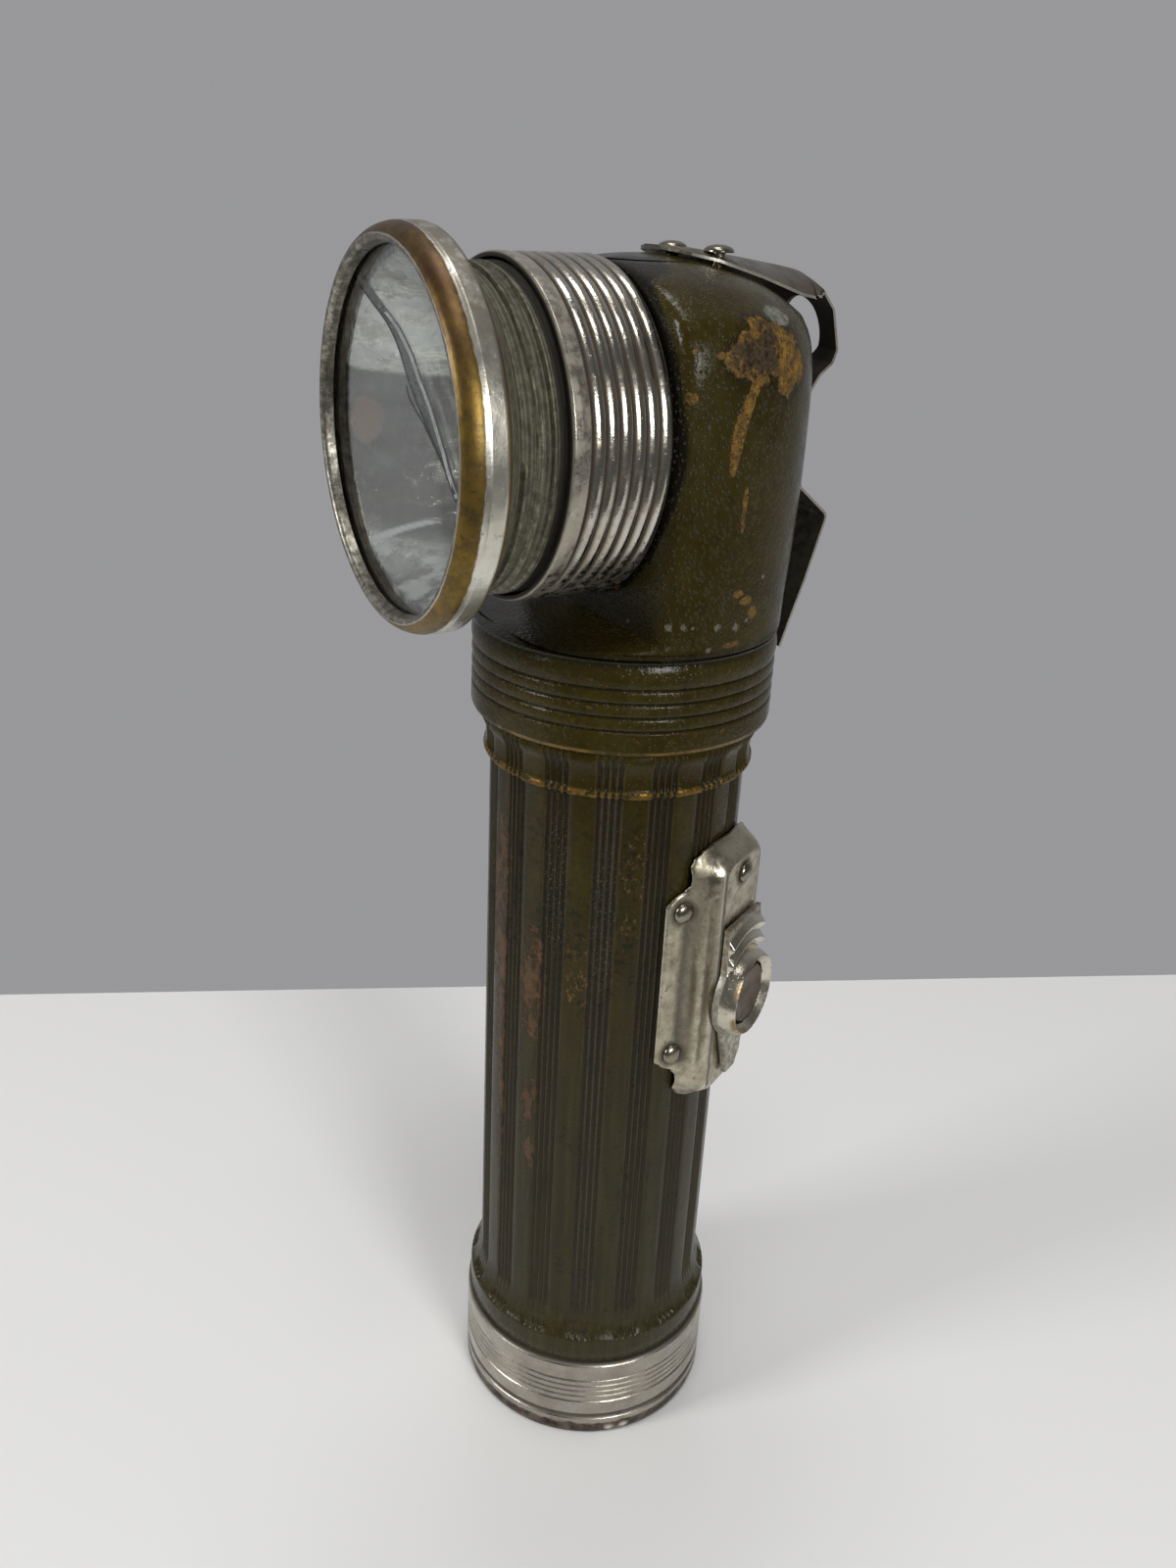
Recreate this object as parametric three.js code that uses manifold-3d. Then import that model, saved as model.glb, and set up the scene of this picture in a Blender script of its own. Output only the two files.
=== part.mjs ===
// Angle flashlight for two round cells. Millimetres, +Z up.
// The tube stands on its end cap with its axis on Z. The lens looks towards -Y and the
// belt clip is at +Y. The origin is the middle of the end cap's flat base.

import * as THREE from 'three';
import { mergeVertices } from 'three/addons/utils/BufferGeometryUtils.js';
import Module from 'manifold-3d';

const wasm = await Module();
wasm.setup();

// Clearances
const runGap = 0.3; // between pieces that turn, slide or curve past each other
const seatGap = 0.25; // between a shoulder and the rim that it is screwed up to
const rivetGap = 0.1; // under a rivet's head and above its tail
const overrun = 1; // how far a cut runs past the faces that it cuts

// Facets
const roundSteps = 30;
const hiddenSteps = 20;
const smallSteps = 10;
const threadSteps = 24;
const mergeTolerance = 1e-4;

// Screw threads, rolled in thin sheet
const screwPitch = 2;
const screwDepth = 0.6;
const screwRootWidth = 0.9;
const screwCrestWidth = 0.4;
const screwSink = 0.22; // how far a ridge's foot lies inside its wall

// Cells and their liner
const cellRadius = 17;
const cellHeight = 61.5;
const cellNubHeight = 2;
const cellNubRadius = 4.8;
const cellNubEdge = 0.5;
const cellSealHeight = 2;
const cellJacketWall = 0.4;
const cellCardGap = 0.2;
const cellJacketInset = 1;
const cellGap = 0.2;
const linerWall = 0.5;
const linerRoom = 0.6; // from the liner to the case
const linerInset = 2;

// End cap
const capProud = 0.5; // how much wider than the skirt it is
const capHeight = 16;
const capWall = 0.7;
const capFloor = 1;
const capRim = 1; // rounding of the base's edge
const capGrooveHeight = 4.2;
const capGrooveWidth = 1;
const capGrooveDepth = 0.45;
const capRibs = 4;
const capRibPitch = 1.15;
const capRibStart = 7.7;
const capRibDepth = 0.3;
const capEdge = 0.5; // slope at the shoulder
const capNeckHeight = 6.3;
const capNeckWall = 0.6;
const capThreadTurns = 1.5;
const capThreadStart = 1.3; // of the first turn, above the shoulder

// Battery spring
const springHeight = 8.4;
const springWire = 1.2;
const springBaseRadius = 12.5;
const springTopRadius = 6;
const springTurns = 4;
const springStepsPerTurn = 8;
const springSides = 5;

// Battery case
const caseWall = 0.6;
const skirtFlare = 1.8;
const skirtHeight = 4.6;
const shoulderHeight = 5.7;
const shoulderSteps = 2;
const ringFlare = 1.4;
const ringFootFlare = 1;
const ringHeight = 7.5;
const ringLip = 0.6; // height of the worn lower edge
const caseLap = 7.1; // length inside the head's collar
const contactRoom = 0.8; // from the cells to the case's top
const fluteGroups = 16;
const flutesPerGroup = 3;
const fluteWidth = 1.1;
const fluteDepth = 0.28;
const caseThreadTurns = 1;
const caseThreadLead = 0.5; // turns by which it stands half a pitch from the cap's ridge

// Head
const collarFlare = 2.9;
const collarHeight = 12.1;
const collarWall = 0.8;
const collarLip = 0.5;
const collarBeads = 3;
const collarBeadPitch = 1.9;
const collarBeadDepth = 0.35;
const collarTopBead = 3; // height of the broad bead above the narrow ones
const headFlare = 3.9;
const headHeight = 49.3;
const headWall = 0.7;
const headFront = 7.5; // from the tube's axis to the flat front
const headCornerPower = 14; // the higher, the tighter the front's corners are rounded
const headFlatSteps = 10;
const headBackSteps = 20;
const headCornerTurn = THREE.MathUtils.degToRad(6);
const headFlatShare = 0.9; // no ring turns its corner nearer to the front than this
const shelfEdge = 1.6; // height of the ledge's edge above the collar
// Outline of the head above its ledge: shares of the head's radius and height
const headOutlineShares = [
  [0.965, 0.057],
  [0.983, 0.22],
  [1, 0.43],
  [1, 0.67],
  [0.974, 0.79],
  [0.921, 0.852],
  [0.86, 0.882],
  [0.66, 0.937],
  [0.4, 0.977],
  [0.2, 0.994],
];
const shelfRadiusShare = 0.961;

// Lens sleeve. Distances in these groups are out along the lens axis.
const lensAxisRise = 27.45; // above the collar's top
const sleeveRadius = 21.6;
const sleeveLength = 13.9;
const sleeveWall = 0.75;
const sleeveLip = 0.5;
const sleeveRibs = 6;
const sleeveRibPitch = 1.83;
const sleeveRibDepth = 0.35;
const spigotInset = 2.4;
const spigotWall = 0.6;
const sleeveThreadTurns = 1;
const sleeveThreadInset = 2;

// Bezel ring
const bezelReach = 36.6; // from the tube's axis to the front of the roll
const rimProud = 3.2; // how much wider than the sleeve the rim is
const rimBand = 2.5;
const rimRollDepth = 3.1;
const rimRollWidth = 2.8;
const rimRollSteps = 3;
const rimLip = 1; // from the roll's front back to the opening's edge
const rimSheet = 0.7;
const rimFlareLength = 3.5;
const neckLength = 13.9;
const neckWall = 0.5;
const neckThreadDepth = 0.55;
const neckThreadTurns = 5;
const neckThreadInset = 1.5;

// Lens, gasket and reflector
const glassThickness = 1.8;
const gasketThickness = 0.7;
const gasketWidth = 2;
const reflectorWall = 0.4;
const reflectorFlange = 0.6;
const reflectorDepth = 17;
const reflectorHole = 6.2;
const reflectorCollar = 2.4;
const reflectorMouthInset = 1;
const reflectorSteps = 6;

// Brass parts in the head
const bracketReach = 6.4; // from the tube's axis to the front of the upright
const bracketSheet = 0.8;
const bracketWidth = 12;
const bracketFootRadius = 17.2;
const bracketEye = 8;
const bracketHole = 3;
const bracketTopRise = 8.5; // above the lens axis
const insulatorThickness = 1.2;
const contactRadius = 4.5;
const contactShank = 2.5;
const contactHead = 0.5;
const contactTailRadius = 3.6;
const contactTail = 0.8;
const stripSheet = 0.4;
const stripWidth = 5;
const stripRise = 2.5;
const stripFoot = 8.6;
const stripSpacing = 0.5; // between the bracket's upright and the contact strip
const leadWidth = 3.2;
const leadFoot = 3.6;
const leadDrop = 12.8; // below the middle of the switch

// Bulb and its socket
const socketWall = 0.5;
const socketLength = 6.4;
const socketFlangeRadius = 7.5;
const socketFlange = 0.6;
const bulbBaseRadius = 4.75;
const bulbBaseLength = 6;
const bulbGlassRadius = 5.2;
const bulbGlassLength = 9.2;
const bulbGlassWall = 0.45;
const bulbNeckRadius = 3.9;
const bulbGlassSteps = 4;
const bulbNeckShare = 0.14; // of the glass's length
const bulbWidestShare = 0.5;
const bulbTipRadius = 1.7;
const bulbTipLength = 1.2;
const bulbInsulatorRadius = 4.2;
const bulbInsulatorLength = 1.1;
const filamentRadius = 0.22;
const filamentSpan = 3.2;
const filamentRise = 4.6;
const filamentSteps = 6;

// Belt clip
const clipSheet = 0.6;
const clipWidth = 16;
const clipCamber = 2.4;
const clipAcrossSteps = 4;
const clipHoleRadius = 4.3;
const clipRivetSpread = 5.5;
const clipRivetReach = 7.5;
// Reach, height and camber of the clip's inner face: shares of the head's radius, the
// head's height above the collar, and clipCamber
const clipPathShares = [
  [0.02, 1.002, 0.3],
  [0.262, 0.997, 0.42],
  [0.568, 0.98, 0.8],
  [0.873, 0.962, 1.3],
  [1, 0.953, 1.3],
  [1.07, 0.935, 0.95],
  [1.112, 0.87, 0.3],
  [1.157, 0.763, 0.15],
  [1.135, 0.726, 0.2],
  [1.057, 0.69, 0.3],
  [1.004, 0.647, 0.34],
  [1.004, 0.395, 0.34],
  [1.222, 0.3, 0.1],
  [1.105, 0.112, 0.1],
  [1.02, -0.014, 0.17],
  [0.967, -0.09, 0.17],
];
const clipHoleShare = 0.812; // height of the hang hole, on the same scale

// Rivets
const rivetHeadRadius = 1.7;
const rivetHeadHeight = 0.95;
const rivetHeadSteps = 2;
const rivetShankRadius = 0.9;
const rivetTailRadius = 1.4;
const rivetTailHeight = 0.35;
const clipRivetHeadRadius = 2;

// Switch plate, in a frame whose X runs out of the tube
const switchAzimuth = THREE.MathUtils.degToRad(28.5);
const switchDrop = 30.6; // of the switch's middle below the raised ring
const plateSheet = 0.6;
const plateHalfLength = 21;
const flangeHalfWidth = 11.2;
const channelRise = 3.6; // above the tube
const channelHalfWidth = 6;
const channelInset = 1.4; // from the plate's end to the channel's
const channelSplay = 1.1; // how much wider each side is at its foot
const channelCorner = 1.6;
// Half of the flange's outline: shares of flangeHalfWidth and plateHalfLength
const flangeOutlineShares = [
  [0, 1.05],
  [0.45, 0.98],
  [0.77, 0.88],
  [0.77, 0.74],
  [1, 0.65],
];
const flangeRivetSpread = 9;
const flangeRivetInset = 8.8; // from the plate's end
const channelRivetInset = 4.4;

// Switch slide and signal button
const sliderTravel = 5;
const sliderSheet = 0.8;
const sliderHalfWidth = 5.6;
const sliderStopGap = 0.6; // to the channel's rivet at the end of the travel
const sliderTailInset = 3.2; // from the plate's end
const sliderTailHalfWidth = 2.4;
const sliderRibs = 2;
const sliderRibPitch = 2.6;
const sliderRibInset = 1.5;
const sliderRibRadius = 0.75;
const bossDrop = 3.2; // of the boss below the middle of the switch
const bossFootRadius = 7.2;
const bossRadius = 6.5;
const bossHeight = 2.7;
const bossRecess = 4.9;
const shankHalfWidth = 2;
const shankHalfLength = 5;
const shankFootHalfWidth = 4.2;
const shankFootHalfLength = 6;
const shankFootSheet = 0.7;
const shankFootGap = 0.4;
const buttonThickness = 0.7;
const buttonRise = 1.1; // of its underside above the recess's floor
const buttonDish = 0.25;
const buttonDishShare = 0.8; // of the button's radius
const stemRadius = 1.2;
const stemCollarRadius = 1.9;
const stemCollarHeight = 0.6;
const stemReach = 0.9; // past its collar, towards the lead strip

// Radii that follow from the cells outwards
const linerBore = cellRadius + runGap;
const linerRadius = linerBore + linerWall;
const caseBore = linerRadius + linerRoom;
const caseRadius = caseBore + caseWall;
const skirtRadius = caseRadius + skirtFlare;
const skirtBore = skirtRadius - caseWall;
const ringRadius = caseRadius + ringFlare;
const ringFootRadius = caseRadius + ringFootFlare;
const collarRadius = caseRadius + collarFlare;
const collarBore = collarRadius - collarWall;
const lapRadius = collarBore - runGap;
const headRadius = caseRadius + headFlare;
const capRadius = skirtRadius + capProud;
const capBore = capRadius - capWall;
const capNeckRadius = skirtBore - runGap - screwDepth;
const capNeckBore = capNeckRadius - capNeckWall;
const leadFace = (linerBore + caseBore + stripSheet) / 2;
const flangeInside = caseRadius + runGap;
const flangeOutside = flangeInside + plateSheet;
const channelFace = caseRadius + channelRise;

// Levels up the tube
const skirtBase = capHeight + seatGap;
const skirtTop = skirtBase + skirtHeight;
const cellBase = capFloor + springHeight + 2 * runGap;
const upperCellBase = cellBase + cellHeight + cellGap;
const cellsTop = upperCellBase + cellHeight;
const caseTop = cellsTop + contactRoom;
const collarBase = caseTop - caseLap;
const ringBase = collarBase - ringHeight;
const collarTop = collarBase + collarHeight;
const insulatorBase = caseTop + runGap;
const insulatorTop = insulatorBase + insulatorThickness;
const bracketBase = insulatorTop + runGap;
const bracketFootTop = bracketBase + bracketSheet;
const stripBase = bracketFootTop + runGap;
const lensAxis = collarTop + lensAxisRise;
const headTop = collarTop + headHeight;
const switchHeight = ringBase - switchDrop;
const bossMiddle = switchHeight - bossDrop;
const channelHalfLength = plateHalfLength - channelInset;
const flangeRivetRise = plateHalfLength - flangeRivetInset;
const channelRivetRise = plateHalfLength - channelRivetInset;
const sliderTail = plateHalfLength - sliderTailInset;
const sliderTop = channelRivetRise - rivetHeadRadius - sliderStopGap - sliderTravel;

// Radii and distances about the lens axis
const sleeveBore = sleeveRadius - sleeveWall;
const spigotRadius = sleeveRadius - spigotInset;
const sleeveBack = headFront + seatGap;
const sleeveFront = sleeveBack + sleeveLength;
const neckRadius = sleeveBore - runGap - neckThreadDepth;
const neckBore = neckRadius - neckWall;
const rimRadius = sleeveRadius + rimProud;
const rimBore = rimRadius - rimSheet;
const rimOpening = rimRadius - rimRollWidth;
const rimBack = bezelReach - rimRollDepth - rimBand;
const neckFront = rimBack - rimFlareLength;
const neckBack = neckFront - neckLength;
const rimInside = bezelReach - rimLip - rimSheet;
const flareSlope = (rimRadius - neckRadius) / rimFlareLength;
const flareShift = rimSheet * Math.hypot(1, flareSlope) / flareSlope;
const glassRadius = rimBore - runGap;
const glassFront = rimInside - runGap;
const glassBack = glassFront - glassThickness;
const gasketFront = glassBack - runGap;
const gasketBack = gasketFront - gasketThickness;
const reflectorFront = gasketBack - runGap;
const reflectorBack = reflectorFront - reflectorFlange;
const reflectorMouth = rimOpening - reflectorMouthInset;
const reflectorFocus = reflectorMouth ** 2 / (4 * reflectorDepth);
const reflectorVertex = reflectorFront - reflectorDepth;
const stripReach = bracketReach - bracketSheet - stripSpacing;
const socketBack = bracketReach + runGap;
const socketBore = bulbBaseRadius + runGap;
const tipBack = stripReach + runGap;
const bulbInsulatorBack = tipBack + bulbTipLength + runGap;
const bulbBaseBack = bulbInsulatorBack + bulbInsulatorLength + runGap;
const bulbBaseFront = bulbBaseBack + bulbBaseLength;
const bulbGlassBack = bulbBaseFront + runGap;

// Distances out of the tube at the switch
const channelInside = channelFace - plateSheet;
const shankFootOut = channelInside - shankFootGap;
const shankFootIn = shankFootOut - shankFootSheet;
const sliderBack = channelFace + runGap;
const sliderFace = sliderBack + sliderSheet;
const bossTop = sliderFace + bossHeight;
const buttonBack = sliderFace + buttonRise;
const buttonFace = buttonBack + buttonThickness;
const stemCollarOut = shankFootIn - runGap;
const stemCollarIn = stemCollarOut - stemCollarHeight;
const stemEnd = stemCollarIn - stemReach;

// Finishes
const nickel = { color: 0xb8b2a4, roughness: 0.33, metalness: 1 };
const enamel = { color: 0x464124, roughness: 0.4, metalness: 0.1 };
const brass = { color: 0xa98547, roughness: 0.38, metalness: 1 };
const silvered = { color: 0xc9c9c6, roughness: 0.18, metalness: 1 };
const clear = { color: 0xeef2f2, roughness: 0.05, metalness: 0, transparent: true, opacity: 0.3 };
const fibre = { color: 0x7a4a32, roughness: 0.8, metalness: 0 };
const card = { color: 0x9a7b52, roughness: 0.9, metalness: 0 };
const jacketCard = { color: 0x2f4a6b, roughness: 0.8, metalness: 0 };
const zinc = { color: 0x8b8f93, roughness: 0.5, metalness: 1 };
const pitch = { color: 0x1b1917, roughness: 0.7, metalness: 0 };
const cork = { color: 0x6f5a3e, roughness: 0.9, metalness: 0 };
const steel = { color: 0x9c9c9a, roughness: 0.35, metalness: 1 };

// Position-only copy of a geometry, with shared corners merged and flat faces dropped
function weld(geometry) {
  const bare = new THREE.BufferGeometry();
  bare.setAttribute('position', geometry.getAttribute('position').clone());
  if (geometry.index) bare.setIndex(geometry.index.clone());
  const merged = mergeVertices(bare, mergeTolerance);
  const faces = [];
  const source = merged.index.array;
  for (let i = 0; i < source.length; i += 3) {
    const [a, b, c] = source.slice(i, i + 3);
    if (a !== b && b !== c && c !== a) faces.push(a, b, c);
  }
  merged.setIndex(faces);
  return merged;
}

// Six times the volume that a closed geometry's faces enclose
function signedVolume(geometry) {
  const at = geometry.getAttribute('position');
  const faces = geometry.index.array;
  const [a, b, c] = [new THREE.Vector3(), new THREE.Vector3(), new THREE.Vector3()];
  let total = 0;
  for (let i = 0; i < faces.length; i += 3) {
    a.fromBufferAttribute(at, faces[i]);
    b.fromBufferAttribute(at, faces[i + 1]);
    c.fromBufferAttribute(at, faces[i + 2]);
    total += a.dot(b.cross(c));
  }
  return total;
}

function toSolid(geometry) {
  const closed = weld(geometry);
  const faces = Array.from(closed.index.array);
  if (signedVolume(closed) < 0) faces.reverse();
  return new wasm.Manifold(new wasm.Mesh({
    numProp: 3,
    vertProperties: new Float32Array(closed.getAttribute('position').array),
    triVerts: new Uint32Array(faces),
  }));
}

function toGeometry(solid) {
  const mesh = solid.getMesh();
  const geometry = new THREE.BufferGeometry();
  geometry.setAttribute('position', new THREE.BufferAttribute(mesh.vertProperties, 3));
  geometry.setIndex(new THREE.BufferAttribute(mesh.triVerts, 1));
  geometry.computeVertexNormals();
  return geometry;
}

// One body: the first geometry with others joined to it and others cut away
function shape(base, { joins = [], cuts = [] } = {}) {
  let solid = toSolid(base);
  for (const added of joins) solid = solid.add(toSolid(added));
  for (const cut of cuts) solid = solid.subtract(toSolid(cut));
  return toGeometry(solid);
}

function piece(name, geometry, finish) {
  const mesh = new THREE.Mesh(geometry, new THREE.MeshStandardMaterial(finish));
  mesh.name = name;
  return mesh;
}

// Solid of revolution about Z from [radius, height] points
function turned(points, steps) {
  const outline = points.map(([radius, height]) => new THREE.Vector2(radius, height));
  const ends = [points[0], points[points.length - 1]];
  if (ends.some(([radius]) => radius > 0)) outline.push(outline[0].clone());
  return new THREE.LatheGeometry(outline, steps).rotateX(Math.PI / 2);
}

const bar = (radius, from, to, steps) =>
  turned([[0, from], [radius, from], [radius, to], [0, to]], steps);

const tube = (bore, radius, from, to, steps) =>
  turned([[bore, from], [radius, from], [radius, to], [bore, to]], steps);

function block([x0, x1], [y0, y1], [z0, z1]) {
  const box = new THREE.BoxGeometry(x1 - x0, y1 - y0, z1 - z0);
  return box.translate((x0 + x1) / 2, (y0 + y1) / 2, (z0 + z1) / 2);
}

// Closed skin over rings of points, each ring the same number of points
function loft(rings) {
  const count = rings[0].length;
  const corners = rings.flat();
  const faces = [];
  for (let i = 0; i < rings.length - 1; i += 1) {
    for (let j = 0; j < count; j += 1) {
      const here = i * count + j;
      const next = i * count + ((j + 1) % count);
      faces.push(here, next, next + count, here, next + count, here + count);
    }
  }
  const lastRing = (rings.length - 1) * count;
  for (let j = 1; j < count - 1; j += 1) {
    faces.push(0, j + 1, j);
    faces.push(lastRing, lastRing + j, lastRing + j + 1);
  }
  const geometry = new THREE.BufferGeometry().setFromPoints(corners);
  geometry.setIndex(faces);
  return geometry;
}

// Prism from an outline in X and Y, between two heights
function prism(points, from, to) {
  const outline = new THREE.Shape(points.map(([x, y]) => new THREE.Vector2(x, y)));
  const settings = { depth: to - from, bevelEnabled: false };
  return new THREE.ExtrudeGeometry(outline, settings).translate(0, 0, from);
}

// Turns a shape made along Z so that it runs out along the lens axis
const alongLens = (geometry) => geometry.rotateX(Math.PI / 2).translate(0, 0, lensAxis);

// Turns a shape made along Z so that it runs out along X
const alongX = (geometry) => geometry.rotateY(Math.PI / 2);

// Turns an outline in X and Y so that X runs along Y and Y runs up
function facingX(geometry) {
  const toFrame = new THREE.Matrix4().makeBasis(
    new THREE.Vector3(0, 1, 0),
    new THREE.Vector3(0, 0, 1),
    new THREE.Vector3(1, 0, 0),
  );
  return geometry.applyMatrix4(toFrame);
}

// Ribs rolled in a round wall: [radius, height] points, from valley to valley
function ribs(crest, depth, start, pitch, count) {
  const points = [[crest - depth, start]];
  for (let i = 0; i < count; i += 1) {
    points.push([crest, start + (i + 0.5) * pitch]);
    points.push([crest - depth, start + (i + 1) * pitch]);
  }
  return points;
}

// Helical ridge about Z. It rises from start by one pitch a turn, between two turn
// counts, with its foot sunk in the wall and its ends run out.
function threadRidge({ wall, depth, start, from, to }) {
  const outward = Math.sign(depth);
  const foot = wall - outward * screwSink;
  const count = Math.round((to - from) * threadSteps);
  const rings = [];
  for (let i = 0; i <= count; i += 1) {
    const turn = from + ((to - from) * i) / count;
    const angle = turn * 2 * Math.PI;
    const height = start + turn * screwPitch;
    const end = i === 0 || i === count;
    const crest = end ? wall : wall + depth;
    const corners = [
      [foot, -screwRootWidth / 2],
      [crest, -screwCrestWidth / 2],
      [crest, screwCrestWidth / 2],
      [foot, screwRootWidth / 2],
    ];
    rings.push(corners.map(([radius, rise]) => new THREE.Vector3(
      radius * Math.cos(angle),
      radius * Math.sin(angle),
      height + rise,
    )));
  }
  return loft(rings);
}

// Rivet along Z: a flat-bottomed dome above the sheets that it holds, a shank, a tail below
function rivet(headRadius, headBase, tailTop) {
  const points = [
    [0, tailTop - rivetTailHeight],
    [rivetTailRadius, tailTop - rivetTailHeight],
    [rivetTailRadius, tailTop],
    [rivetShankRadius, tailTop],
    [rivetShankRadius, headBase],
    [headRadius, headBase],
  ];
  for (let i = 1; i <= rivetHeadSteps; i += 1) {
    const angle = (i / (rivetHeadSteps + 1)) * Math.PI / 2;
    points.push([headRadius * Math.cos(angle), headBase + rivetHeadHeight * Math.sin(angle)]);
  }
  points.push([0, headBase + rivetHeadHeight]);
  return turned(points, smallSteps);
}

const rivetHole = (from, to) => bar(rivetShankRadius + runGap, from, to, smallSteps);

// The case's fluted outline at one height, in groups of narrow grooves
function flutedRing(radius, depth, height) {
  const points = [];
  const groupAngle = (2 * Math.PI) / fluteGroups;
  const halfStep = fluteWidth / (2 * caseRadius);
  for (let group = 0; group < fluteGroups; group += 1) {
    const middle = (group + 0.5) * groupAngle;
    for (let i = 0; i <= 2 * flutesPerGroup; i += 1) {
      const angle = middle + (i - flutesPerGroup) * halfStep;
      const reach = i % 2 === 1 ? radius - depth : radius;
      points.push(new THREE.Vector3(reach * Math.cos(angle), reach * Math.sin(angle), height));
    }
  }
  return points;
}

// Radius of the case between its skirt and its barrel, at a share of the shoulder's height
const shoulderRadius = (share) =>
  caseRadius + skirtFlare * (0.5 + 0.5 * Math.cos(share * Math.PI));

function caseOutside() {
  const rings = [
    flutedRing(skirtRadius, 0, skirtBase),
    flutedRing(skirtRadius, 0, skirtTop),
  ];
  for (let i = 1; i <= shoulderSteps; i += 1) {
    const share = i / shoulderSteps;
    const height = skirtTop + share * shoulderHeight;
    rings.push(flutedRing(shoulderRadius(share), fluteDepth * share, height));
  }
  rings.push(
    flutedRing(caseRadius, fluteDepth, ringBase),
    flutedRing(ringFootRadius, fluteDepth, ringBase + ringLip),
    flutedRing(ringRadius, fluteDepth, collarBase - ringLip),
    flutedRing(lapRadius, 0, collarBase),
    flutedRing(lapRadius, 0, caseTop),
  );
  return loft(rings);
}

function caseInside() {
  const points = [[0, skirtBase - overrun], [skirtBore, skirtBase - overrun], [skirtBore, skirtTop]];
  for (let i = 1; i <= shoulderSteps; i += 1) {
    const share = i / shoulderSteps;
    points.push([shoulderRadius(share) - caseWall, skirtTop + share * shoulderHeight]);
  }
  points.push(
    [caseBore, ringBase + caseWall],
    [ringFootRadius - caseWall, ringBase + ringLip + caseWall],
    [ringRadius - caseWall, collarBase - ringLip],
    [lapRadius - caseWall, collarBase + ringLip],
    [lapRadius - caseWall, caseTop + overrun],
    [0, caseTop + overrun],
  );
  return turned(points, roundSteps);
}

// Where the flange's four rivets stand: angle round the tube and height
function flangeRivetPlaces() {
  const angle = Math.asin(flangeRivetSpread / flangeOutside);
  const places = [];
  for (const side of [-1, 1]) {
    for (const end of [-1, 1]) places.push([side * angle, switchHeight + end * flangeRivetRise]);
  }
  return places;
}

// Slot for the button's stem over the slide's whole travel
function stemSlot() {
  const half = stemRadius + runGap;
  const slot = block(
    [caseBore - overrun, caseRadius + overrun],
    [-half, half],
    [bossMiddle - half, bossMiddle + sliderTravel + half],
  );
  return slot.rotateZ(switchAzimuth);
}

function caseRivetHoles() {
  return flangeRivetPlaces().map(([angle, height]) => {
    const hole = alongX(rivetHole(caseBore - overrun, flangeOutside + overrun));
    return hole.rotateZ(angle + switchAzimuth).translate(0, 0, height);
  });
}

function batteryCase() {
  const hollow = shape(caseOutside(), { cuts: [caseInside(), stemSlot(), ...caseRivetHoles()] });
  const thread = threadRidge({
    wall: skirtBore,
    depth: -screwDepth,
    start: capHeight + capThreadStart - screwPitch * caseThreadLead,
    from: caseThreadLead,
    to: caseThreadLead + caseThreadTurns,
  });
  return piece('battery_case', shape(hollow, { joins: [thread] }), enamel);
}

function endCap() {
  const grooveHalf = capGrooveWidth / 2;
  const round = capRim * (1 - Math.SQRT1_2);
  const body = turned([
    [0, 0],
    [capRadius - capRim, 0],
    [capRadius - round, round],
    [capRadius, capRim],
    [capRadius, capGrooveHeight - grooveHalf],
    [capRadius - capGrooveDepth, capGrooveHeight - grooveHalf / 2],
    [capRadius - capGrooveDepth, capGrooveHeight + grooveHalf / 2],
    [capRadius, capGrooveHeight + grooveHalf],
    [capRadius, capRibStart - capRibPitch / 2],
    ...ribs(capRadius, capRibDepth, capRibStart, capRibPitch, capRibs),
    [capRadius, capRibStart + (capRibs + 0.5) * capRibPitch],
    [capRadius, capHeight - capEdge],
    [capRadius - capEdge, capHeight],
    [capNeckRadius, capHeight],
    [capNeckRadius, capHeight + capNeckHeight],
    [capNeckBore, capHeight + capNeckHeight],
    [capNeckBore, capHeight - capWall],
    [capBore, capHeight - capWall],
    [capBore, capFloor],
    [0, capFloor],
  ], roundSteps);
  const thread = threadRidge({
    wall: capNeckRadius,
    depth: screwDepth,
    start: capHeight + capThreadStart,
    from: 0,
    to: capThreadTurns,
  });
  return piece('end_cap', shape(body, { joins: [thread] }), nickel);
}

// Centre of the spring's wire after a number of turns
function springPoint(turn) {
  const share = turn / springTurns;
  const radius = THREE.MathUtils.lerp(springBaseRadius, springTopRadius, share);
  const rise = share * (springHeight - springWire);
  const angle = turn * 2 * Math.PI;
  const foot = capFloor + runGap + springWire / 2;
  return { radius, angle, height: foot + rise };
}

function springGap() {
  let least = Infinity;
  for (let i = 0; i <= (springTurns - 1) * springStepsPerTurn; i += 1) {
    const here = springPoint(i / springStepsPerTurn);
    const above = springPoint(i / springStepsPerTurn + 1);
    const apart = Math.hypot(above.radius - here.radius, above.height - here.height);
    least = Math.min(least, apart - springWire);
  }
  return least;
}

function batterySpring() {
  const rings = [];
  for (let i = 0; i <= springTurns * springStepsPerTurn; i += 1) {
    const { radius, angle, height } = springPoint(i / springStepsPerTurn);
    const ring = [];
    for (let side = 0; side < springSides; side += 1) {
      const around = (side / springSides) * 2 * Math.PI;
      const reach = radius + Math.cos(around) * springWire / 2;
      const lift = Math.sin(around) * springWire / 2;
      ring.push(new THREE.Vector3(reach * Math.cos(angle), reach * Math.sin(angle), height + lift));
    }
    rings.push(ring);
  }
  console.log(`battery_spring: least gap to itself ${springGap().toFixed(2)} mm`);
  return piece('battery_spring', shape(loft(rings)), steel);
}

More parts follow.
